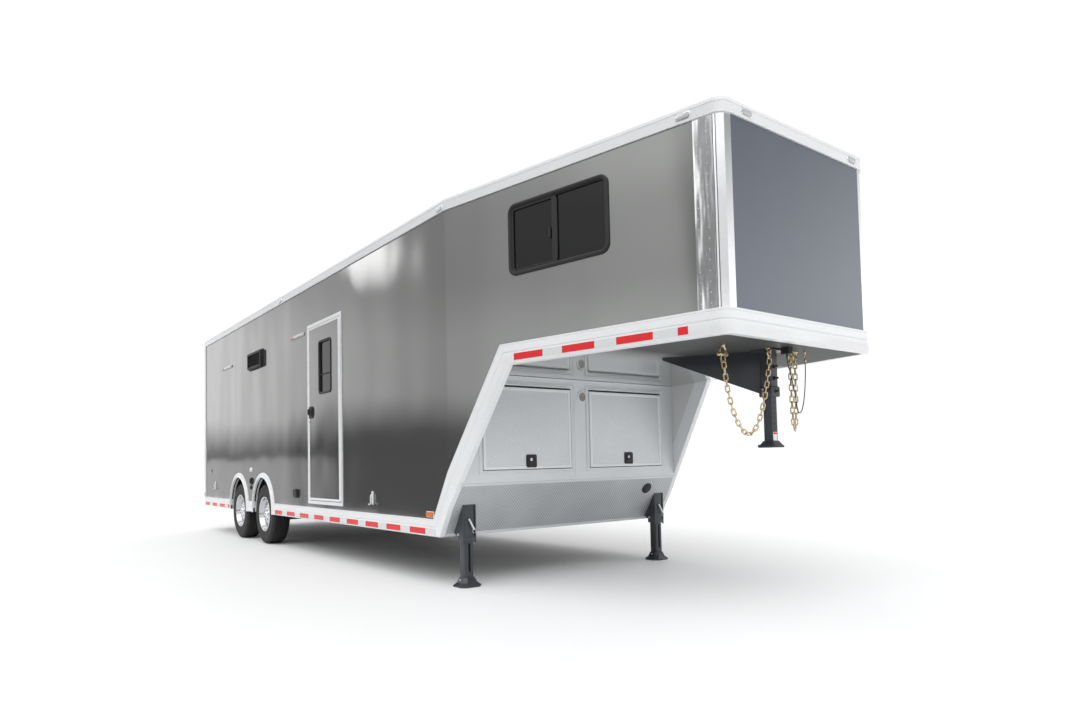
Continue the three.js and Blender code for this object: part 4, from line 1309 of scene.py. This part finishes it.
def makeCoupler():
    x, top, low = coupler["station"], body["neckBottom"] - 0.0003, coupler["sleeveLow"]
    s = coupler["sleeve"] / 2

    def tube(r, z, corner=0.008):
        return [(x + a, b, z) for a, b in roundBox((-r, -r), (r, r), corner, 4)]

    form = Form()
    form.loft([tube(s, low), tube(s, top)])
    collar = low + coupler["collar"]
    form.loft([tube(s + 0.005, low - 0.001), tube(s + 0.009, low + 0.006), tube(s + 0.009, collar),
               tube(s + 0.004, collar + 0.008)])
    form.loft([tube(s + 0.05, top - 0.012, 0.012), tube(s + 0.05, top, 0.012)])
    run = math.hypot(coupler["tipBack"], coupler["tipSide"])
    for side in sides.values():
        turn = math.atan2(coupler["tipSide"], coupler["tipBack"]) * -side
        wing = Matrix.Translation((seam + x, 0, 0)) @ Matrix.Rotation(turn, 4, "Z")
        keep, form.at = form.at, wing
        tip, web = top - coupler["tipHeight"], coupler["plate"] / 2
        outline = [(0.0, low + 0.02), (0.0, top), (-run, top), (-run, tip + 0.005), (-run + 0.008, tip),
                   (-s - 0.03, low + 0.03), (-s, low + 0.02)]
        form.prism(outline, "y", -web, web)
        f = coupler["flange"] / 2
        form.box((-run + 0.06, -f, top - 0.005), (-s, f, top))
        form.at = keep
    form.make("coupler_sleeve", "trailer", "frame_paint", [jackPaint], bevel=0.0015,
              replaces=["coupler_mount"])

    form = Form()
    r = coupler["tube"] / 2
    base, size = coupler["base"], coupler["baseSize"] / 2
    form.loft([tube(r, base + 0.03, 0.006), tube(r, low + 0.002, 0.006)])
    form.loft([tube(size, base, 0.016), tube(size, base + 0.012, 0.016),
               tube(size - 0.008, base + 0.02, 0.014), tube(r + 0.006, base + 0.046, 0.008)])
    form.softBox((x - size - 0.035, -0.016, base + 0.004), (x - size + 0.004, 0.016, base + 0.022),
                 0.006, "x", 0.003)
    form.make("coupler_tube", "trailer", "frame_paint", [jackPaint], bevel=0.001, replaces=["coupler"])

    form = Form()
    for z in coupler["bolts"]:
        for part, count in (("nut", 6), ("shank", 14)):
            form.turned([(a, s + out) for a, out in coupler[part]], (x, 0, z), "x", count)
    z, (near, far) = low + coupler["pinUp"], coupler["pinEnds"]
    form.rod((x, -s - near, z), (x, s + far, z), coupler["pin"])
    form.tone = 1
    form.tube([(x, -s - out, z + rise) for out, rise in coupler["clip"]], coupler["clipWire"], 8)
    # black discs on the front of the tube stand for its holes: painted shade
    form.tone = 2
    for i in range(coupler["holes"]):
        z = base + coupler["holeUp"] + i * coupler["holePitch"]
        form.turned([(coupler["hole"], r - 0.001), (coupler["hole"], r + 0.0004)], (x, 0, z), "x", 18)
    form.make("coupler_bolts", "trailer", "frame_paint", [framePaintAndShade, brightZinc, mouldedAndShade], smooth=40)

    form = Form().pads("x", coupler["label"], coupler["labelSteps"], x + r)
    form.make("coupler_blank_label", "trailer", "trim_aluminium", [whitePlastic, tapeRed])


makeCoupler()

# safety chains, as the points their links follow
chain = {"wire": 0.0092, "length": 0.058, "width": 0.034,
         "near": [(2.095, -0.478, 1.655), (2.1, -0.476, 1.6), (2.108, -0.45, 1.42), (2.115, -0.4, 1.27),
                  (2.122, -0.33, 1.175), (2.13, -0.27, 1.15), (2.14, -0.205, 1.2), (2.15, -0.15, 1.32),
                  (2.158, -0.105, 1.48), (2.164, -0.08, 1.62), (2.166, -0.076, 1.69)],
         "far": [(2.15, 0.19, 1.69), (2.15, 0.19, 1.6), (2.15, 0.193, 1.4), (2.15, 0.203, 1.24),
                 (2.15, 0.218, 1.178), (2.15, 0.233, 1.24), (2.15, 0.243, 1.4), (2.15, 0.246, 1.6),
                 (2.15, 0.246, 1.69)],
         "anchors": [(2.166, -0.076), (2.15, 0.19), (2.15, 0.246)],
         "eye": [(0.022, -0.006), (0.024, -0.004), (0.024, 0.0)], "eyeSize": (0.02, 0.026),
         "eyeWire": 0.006, "bow": 0.03, "bowUp": 0.034, "bowWire": 0.0065, "boltUp": 0.01,
         "bolt": (0.05, 0.007), "nut": [(0.014, 0.03), (0.014, 0.042), (0.01, 0.046)],
         "boss": [(0.016, -0.012), (0.02, -0.006), (0.02, 0.0)]}


def smoothLine(points, steps=40):
    # a soft curve through the points
    points = [Vector(p) for p in points]
    ends = [points[0] * 2 - points[1]] + points + [points[-1] * 2 - points[-2]]
    line = []
    for a, b, c, d in zip(ends, ends[1:], ends[2:], ends[3:]):
        for i in range(steps):
            t = i / steps
            line.append(0.5 * ((2 * b) + (c - a) * t + (2 * a - 5 * b + 4 * c - d) * t * t
                               + (3 * b - a - 3 * c + d) * t ** 3))
    return line + [points[-1]]


def evenly(line, pitch):
    # places along a line a pitch apart, each with its direction
    places, left = [], pitch / 2
    for a, b in zip(line, line[1:]):
        step = (b - a).length
        while left <= step:
            places.append((a + (b - a) * (left / step), (b - a).normalized()))
            left += pitch
        left -= step
    return places


def linkLoop(length, width, wire, count=20):
    straight = length / 2 - width / 2
    loop = []
    for x, y in circle(width / 2 - wire / 2, count, math.pi / count):
        loop.append(Vector((x + (straight if x > 0 else -straight), y, 0)))
    return loop


def makeChain(name, route, replaced):
    form = Form()
    links = evenly(smoothLine(route), chain["length"] - 2 * chain["wire"])
    loop = linkLoop(chain["length"], chain["width"], chain["wire"])
    for i, (place, ahead) in enumerate(links):
        turn = ahead.to_track_quat("X", "Z").to_matrix().to_4x4()
        roll = Matrix.Rotation(math.radians(45 + 90 * (i % 2)), 4, "X")
        at = Matrix.Translation(place) @ turn @ roll
        form.tube([tuple(at @ p) for p in loop], chain["wire"] / 2, 8, loop=True)
    form.make(name, "trailer", "plated_chain", [goldZinc], smooth=60, replaces=[replaced])


def makeAnchors():
    top = body["neckBottom"] - 0.0005
    form = Form()
    for x, y in chain["anchors"]:
        form.turned([(r, top + t) for r, t in chain["eye"]], (x, y, 0), "z", 24)
        wide, tall = chain["eyeSize"]
        loop = [(x, y + wide * a, top - tall + tall * b) for a, b in circle(1, 24)]
        form.tube(loop, chain["eyeWire"], 10, loop=True)
    form.make("chain_eyes", "trailer", "plated_chain", [goldZinc], smooth=60)
    # bow shackle that holds the loose end of the near chain
    x, y, z = chain["near"][0]
    form = Form()
    r, middle = chain["bow"], z + chain["bowUp"]
    bow = [(x, y + r * math.cos(a), middle + r * math.sin(a))
           for a in (math.pi * i / 18 for i in range(-4, 23))]
    form.tube(bow, chain["bowWire"], 10)
    (reach, thick), z = chain["bolt"], z + chain["boltUp"]
    form.rod((x, y - reach, z), (x, y + reach, z), thick, 14)
    for face in (-1, 1):
        form.turned([(a, face * t) for a, t in chain["nut"]], (x, y, z), "y", 16)
    form.turned([(a, top + t) for a, t in chain["boss"]], (x, y, 0), "z", 6)
    form.make("bow_shackle", "trailer", "plated_chain", [goldZinc], smooth=60)


makeChain("near_chain_links", chain["near"], "right_safety_chain")
makeChain("far_chain_links", chain["far"], "left_safety_chain")
makeAnchors()
print("coupler and chains made")

tyre = {"radius": 0.391, "width": 0.234, "bead": 0.214, "turns": 240, "inset": 0.123,
        "grooves": (-0.058, -0.02, 0.02, 0.058), "grooveWidth": 0.0075, "grooveDepth": 0.009,
        "notch": 5, "notchDepth": 0.006, "zigzag": 0.0016, "treadFrom": 0.362}
wheel = {"lip": 0.228, "half": 0.117, "turns": 96, "studCircle": 0.0826, "studs": 8,
         "windowMiddle": 0.148, "windowHalf": (0.02, 0.024), "windowCorner": 0.016,
         # rows of radius, distance out
         "cap": [(0.058, 0.05), (0.058, 0.072), (0.054, 0.077), (0.046, 0.0785), (0.036, 0.079),
                 (0.034, 0.094), (0.03, 0.1), (0.02, 0.1035), (0.002, 0.1045)],
         "nut": [(0.0135, 0.062), (0.0135, 0.066), (0.0105, 0.068), (0.0105, 0.085), (0.009, 0.091),
                 (0.004, 0.094)],
         "drum": [(0.15, -0.06), (0.15, -0.005), (0.14, 0.0), (0.06, 0.002)],
         "valve": [(0.192, 0.062, 0.03), (0.199, 0.09, 0.031)], "valveRadius": 0.0035}


def tyreSection():
    # (radius, distance out, groups: 0 side, 1 shoulder block, 2 groove floor, 3 rib)
    w, r = tyre["width"] / 2, tyre["radius"]
    side = [(tyre["bead"] + 0.001, w - 0.024, 0), (tyre["bead"] + 0.012, w - 0.013, 0),
            (0.238, w - 0.0095, 0), (0.242, w - 0.0055, 0), (0.262, w - 0.0012, 0),
            (0.266, w + 0.0006, 0), (0.27, w + 0.0006, 0), (0.273, w - 0.0008, 0), (0.302, w, 0),
            (0.335, w - 0.0022, 0), (0.339, w - 0.0006, 0), (0.344, w - 0.0012, 0),
            (0.356, w - 0.007, 0), (0.367, w - 0.011, 1), (0.38, w - 0.018, 1),
            (r - 0.004, w - 0.026, 1), (r - 0.001, w - 0.034, 1)]
    section = list(side)
    wall = tyre["grooveWidth"] / 2
    for centre in tyre["grooves"][::-1]:
        for offset, sunk in ((wall, 0), (wall * 0.6, 1), (-wall * 0.6, 1), (-wall, 0)):
            y = centre + offset
            crown = r - 0.0012 * (abs(y) / 0.08) ** 2
            section.append((crown - tyre["grooveDepth"] * sunk, y, 2 if sunk else 3))
    section += [(a, -b, kind) for a, b, kind in side[::-1]]
    inner = tyre["bead"] + 0.001
    return section + [(inner, -(w - 0.024) + 0.004, 0), (inner, w - 0.028, 0)]


def makeTyre(centre):
    section = tyreSection()
    form = Form(Matrix.Translation(centre))
    rings = []
    for i in range(tyre["turns"]):
        angle = 2 * math.pi * i / tyre["turns"]
        ring = []
        for r, y, kind in section:
            if kind == 1 and i % tyre["notch"] == 0:
                r -= tyre["notchDepth"]
            if kind == 3:
                y += tyre["zigzag"] * (1 if (i // 3) % 2 else -1)
            ring.append((r * math.sin(angle), y, -r * math.cos(angle)))
        rings.append(ring)
    form.loft(rings, loop=True)
    for face in form.mesh.faces:
        middle = face.calc_center_median() - Vector(centre)
        face.material_index = int(math.hypot(middle.x, middle.z) < tyre["treadFrom"])
    return form


def makeWheel(centre, side):
    # rim and dish turned, then the hand holes taken out
    w, lip = wheel["half"], wheel["lip"]
    form = Form(Matrix.Translation(centre) @ Matrix.Diagonal((1, side, 1, 1)))
    form.turned([(0.1, -0.055), (0.19, 0.0), (0.2, 0.03), (0.2, -w + 0.012), (0.208, -w + 0.008),
                 (lip, -w + 0.006), (lip, -w + 0.012), (0.2135, -w + 0.02), (0.2135, w - 0.02),
                 (lip, w - 0.013), (lip + 0.001, w - 0.008), (lip - 0.002, w - 0.0045),
                 (0.216, w - 0.005), (0.2105, w - 0.011), (0.206, w - 0.026), (0.199, w - 0.05),
                 (0.19, 0.056), (0.17, 0.052), (0.15, 0.056), (0.115, 0.066), (0.105, 0.069),
                 (0.1, 0.066), (0.062, 0.064), (0.058, 0.06), (0.058, -0.055)],
                (0, 0, 0), "y", wheel["turns"], closed=True)
    return form


def wheelCutter(centre, side):
    cutter = Form(Matrix.Translation(centre) @ Matrix.Diagonal((1, side, 1, 1)))
    (wide, high), middle = wheel["windowHalf"], wheel["windowMiddle"]
    for i in range(wheel["studs"]):
        angle = 2 * math.pi * (i + 0.5) / wheel["studs"]
        turn = Matrix.Rotation(angle, 4, "Y")
        rings = []
        for y, grow in ((-0.08, -0.002), (0.04, 0.0), (0.09, 0.006)):
            ring = roundBox((-wide - grow, middle - high - grow), (wide + grow, middle + high + grow),
                            wheel["windowCorner"] + grow, 5)
            rings.append([tuple(turn @ Vector((a, y, b))) for a, b in ring])
        cutter.loft(rings)
    return cutter


def makeHubParts(name, centre, side):
    form = Form(Matrix.Translation(centre) @ Matrix.Diagonal((1, side, 1, 1)))
    form.turned(wheel["cap"], (0, 0, 0), "y", 48)
    for i in range(wheel["studs"]):
        angle = 2 * math.pi * i / wheel["studs"]
        x, z = wheel["studCircle"] * math.sin(angle), wheel["studCircle"] * math.cos(angle)
        form.turned(wheel["nut"], (x, 0, z), "y", 6)
    form.tone = 1
    form.rod(*wheel["valve"], wheel["valveRadius"], 10)
    form.tone = 2
    form.turned(wheel["drum"], (0, 0, 0), "y", 48)
    form.make(name + "_hub_parts", name, "wheel_alloy", [brightChrome, mouldedAndShade, framePaintAndShade], smooth=35)


def makeWheels():
    for name, side in sides.items():
        for end in ("front", "rear"):
            label = name + "_" + end
            low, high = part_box(label + "_wheel")
            centre = Vector((low.x + high.x, low.y + high.y, low.z + high.z)) / 2
            centre.y = side * (half - tyre["inset"])
            rider = label + "_wheel"
            makeTyre(centre).make(label + "_tread_tyre", rider, "tyre_rubber",
                                  [tyreRubber, tyreSide], smooth=30, replaces=[label + "_tyre"])
            disc = makeWheel(centre, side).make(label + "_alloy_rim", rider, "wheel_alloy", [alloy],
                                                smooth=28, replaces=[label + "_wheel"])
            carve(disc, wheelCutter(centre, side))
            makeHubParts(rider, centre, side)


makeWheels()
print("wheels made")

# the ramp's edging, its seal in the rear frame and its hinge
rear = {"profile": [(0.0, 0.0), (0.0, 0.004), (0.004, 0.007), (0.012, 0.007), (0.014, 0.005),
                    (0.03, 0.005), (0.033, 0.007), (0.046, 0.007), (0.05, 0.003), (0.05, 0.0)],
        "seal": [(-0.004, 0.0), (-0.004, 0.006), (0.001, 0.006), (0.001, 0.0)],
        "hinge": (-8.0, 0.562), "pin": 0.0085, "pinEdge": (0.0015, 0.0015), "pinGap": 0.001,
        "knuckles": 23, "hingeSpan": 2.2}
# rows of place, size, depth off the door, radius, softness and paint
bars = {"sides": (-0.86, 0.86), "radius": 0.011, "out": 0.014, "inset": 0.05, "band": 0.003,
        "bandHalf": 0.012, "play": 0.0004, "guides": (0.66, 1.2, 1.75, 2.3, 2.82), "screw": 0.027,
        "screwProfile": [(0.006, 0.003), (0.006, 0.006), (0.003, 0.008)],
        "guidePlate": [((0, 0), (0.072, 0.04), (-0.001, 0.004), 0.005, 0.001, 0)],
        "keeper": [((0, 0), (0.04, 0.024), (0.004, 0.03), 0.005, 0.002, 0)],
        "handleUp": 1.24,
        "handle": [((0, 0), (0.032, 0.04), (0.006, 0.036), 0.005, 0.002, 0),
                   ((0.16, 0), (0.32, 0.022), (0.026, 0.034), 0.006, 0.002, 0),
                   ((0.26, 0), (0.04, 0.09), (-0.001, 0.005), 0.006, 0.001, 0),
                   ((0.26, -0.016), (0.018, 0.008), (0.004, 0.04), 0.002, 0.001, 0),
                   ((0.26, 0.001), (0.018, 0.042), (0.036, 0.04), 0.002, 0.001, 0)]}
rearLamps = {"places": [(0.93, 1), (1.02, 1), (1.11, 0)], "size": (0.13, 0.056), "rim": 0.006}
plate = {"at": (0.68, 0.98),
         "steps": [((0, 0), (0.329, 0.179), (-0.001, 0.004), 0.012, 0.001, 0),
                   ((0, 0), (0.305, 0.155), (0.003, 0.0065), 0.01, 0.001, 1),
                   ((0, 0.0905), (0.12, 0.022), (0.003, 0.03), 0.006, 0.003, 0)]}
rearTape = {"height": 0.655, "inset": 0.07, "out": 0.0008, "cornerLength": 0.3,
            "cornerInset": (0.02, 0.06)}


def makeRampEdges(low, high, face):
    onRear = lambda a, out, b: (face - out, a, b)
    form = Form()
    form.frame((low.y, low.z), (high.y, high.z), 0.004, rear["profile"], onRear, steps=2)
    form.make("ramp_edging", "ramp", "trim_aluminium", [whiteTrim])
    form = Form()
    form.frame((low.y - 0.001, low.z - 0.001), (high.y + 0.001, high.z + 0.001), 0.004, rear["seal"],
               onRear, steps=2)
    form.make("ramp_seal", "trailer", "black_plastic", [sealRubber])


def makeLockBars(low, high, face):
    # two bars in their guides, each with a handle folded inwards and its keepers
    out, r = face - bars["out"], bars["radius"]
    foot, head = low.z + bars["inset"], high.z - bars["inset"]
    form = Form()
    for y in bars["sides"]:
        form.turned([(r * 0.8, foot), (r, foot + 0.003), (r, head - 0.003), (r * 0.8, head)],
                    (out, y, 0), "z", 18)
        for z in bars["guides"]:
            form.pads("x", (y, z), bars["guidePlate"], face, -1)
            turns = [math.pi * (i - 6) / 12 for i in range(13)]
            wide, close = r + bars["band"], r + bars["play"]
            ring = [(out - wide * math.cos(a), y + wide * math.sin(a)) for a in turns]
            inner = [(out - close * math.cos(a), y + close * math.sin(a)) for a in turns[::-1]]
            outline = ([(face, y - wide)] + ring + [(face, y + wide), (face, y + close)] + inner
                       + [(face, y - close)])
            form.prism(outline, "z", z - bars["bandHalf"], z + bars["bandHalf"])
            for a in (-bars["screw"], bars["screw"]):
                form.turned([(s, face - t) for s, t in bars["screwProfile"]], (0, y + a, z), "x", 10)
        for z in (foot, head):
            form.pads("x", (y, z), bars["keeper"], face, -1)
        inward = -1 if y > 0 else 1
        rows = [((a * inward, b), *rest) for (a, b), *rest in bars["handle"]]
        form.pads("x", (y, bars["handleUp"]), rows, face, -1)
    form.make("ramp_lock_bars", "ramp", "plated_chain", [brightZinc], smooth=50)


def makeRearHinge():
    (x, z), span = rear["hinge"], rear["hingeSpan"]
    step = span / rear["knuckles"]
    forms = [Form(), Form()]
    for i in range(rear["knuckles"]):
        forms[i % 2].barrel(rear["pin"], -span / 2 + i * step, step, (x, 0, z), "y",
                            rear["pinEdge"], rear["pinGap"])
    forms[0].make("rear_hinge_leaf", "trailer", "trim_aluminium", [whiteTrimLong])
    forms[1].box((x + 0.002, -span / 2, z + 0.009), (x + 0.01, span / 2, z + 0.02))
    forms[1].make("ramp_hinge_leaf", "ramp", "trim_aluminium", [whiteTrimLong])


def makeRearLamps(high, back):
    form = Form()
    (width, height), rim = rearLamps["size"], 2 * rearLamps["rim"]
    for side in sides.values():
        y = side * (high.y + half) / 2
        for z, tone in rearLamps["places"]:
            rows = [((0, 0), (width + rim, height + rim), (-0.001, 0.006), height / 2, 0.002, 2),
                    ((0, 0), (width, height), (0.004, 0.016), height / 2 - 0.001, 0.005, tone)]
            form.pads("x", (y, z), rows, back, -1, 8)
    form.make("rear_lamps", "trailer", "tinted_glass", [clearLens, redLens, mouldedAndShade], smooth=50)


def makeRearTape(low, high, face, back):
    form = Form()
    z, wide, inset = rearTape["height"], tape["width"] / 2, rearTape["inset"]
    for tone, run, stop in tapeRun(low.y + inset, high.y - inset - 0.01, high.y - inset, 0.001):
        form.tone = tone
        form.box((face - rearTape["out"], run, z - wide), (face + 0.001, stop, z + wide))
    form.make("ramp_tape", "ramp", "trim_aluminium", [tapeRed, tapeWhite])

    form = Form()
    aside, under = rearTape["cornerInset"]
    top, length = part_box("rear_frame")[1].z - under, rearTape["cornerLength"]
    for side in sides.values():
        outer = side * (half - aside)
        for reach, z0, z1 in ((length, top - tape["width"], top),
                              (tape["width"], top - length, top - 0.051)):
            a, b = sorted((outer, outer - side * reach))
            form.box((back - rearTape["out"], a, z0), (back + 0.001, b, z1))
    form.make("rear_corner_tape", "trailer", "trim_aluminium", [tapeWhite])


def makeRear():
    low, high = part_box("rear_ramp_door")
    face, back = low.x - seam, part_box("rear_frame")[0].x - seam
    makeRampEdges(low, high, face)
    makeLockBars(low, high, face)
    makeRearHinge()
    makeRearLamps(high, back)
    form = Form().pads("x", plate["at"], plate["steps"], face, -1)
    form.make("blank_plate", "ramp", "black_plastic", [mouldedAndShade, whitePlastic])
    makeRearTape(low, high, face, back)


makeRear()
print("rear made")

# finishes of the solids that stay as they are; the black on the wheel boxes is painted shade
dressed = {
    "right_side_wall": sideSkin, "left_side_wall": sideSkin, "right_nose_wall": noseSkin,
    "left_nose_wall": noseSkin, "nose_panel": panelSkin, "roof_panel": roofSheet,
    "load_floor": deckBoards, "lower_front_panel": stoneGuard, "front_bulkhead": bulkheadWhite,
    "neck_floor": neckSheet, "chassis_frame": framePaintAndShade, "front_axle": framePaintAndShade,
    # painted shade: the wheel boxes take the black frame paint for the shade inside the arches
    "rear_axle": framePaintAndShade, "right_wheel_box": framePaintAndShade, "left_wheel_box": framePaintAndShade,
    "rear_frame": whiteTrim, "rear_ramp_door": rampSkin, "entry_door": doorSkin,
    "right_window_glass": darkGlass, "left_window_glass": darkGlass, "entry_window_glass": darkGlass,
    "right_hatch_door": hatchSheet, "left_hatch_door": hatchSheet, "breakaway_switch": mouldedAndShade,
}
for name, paint in dressed.items():
    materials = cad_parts[name].data.materials
    materials.clear()
    materials.append(paint.material)

print("scene ready")
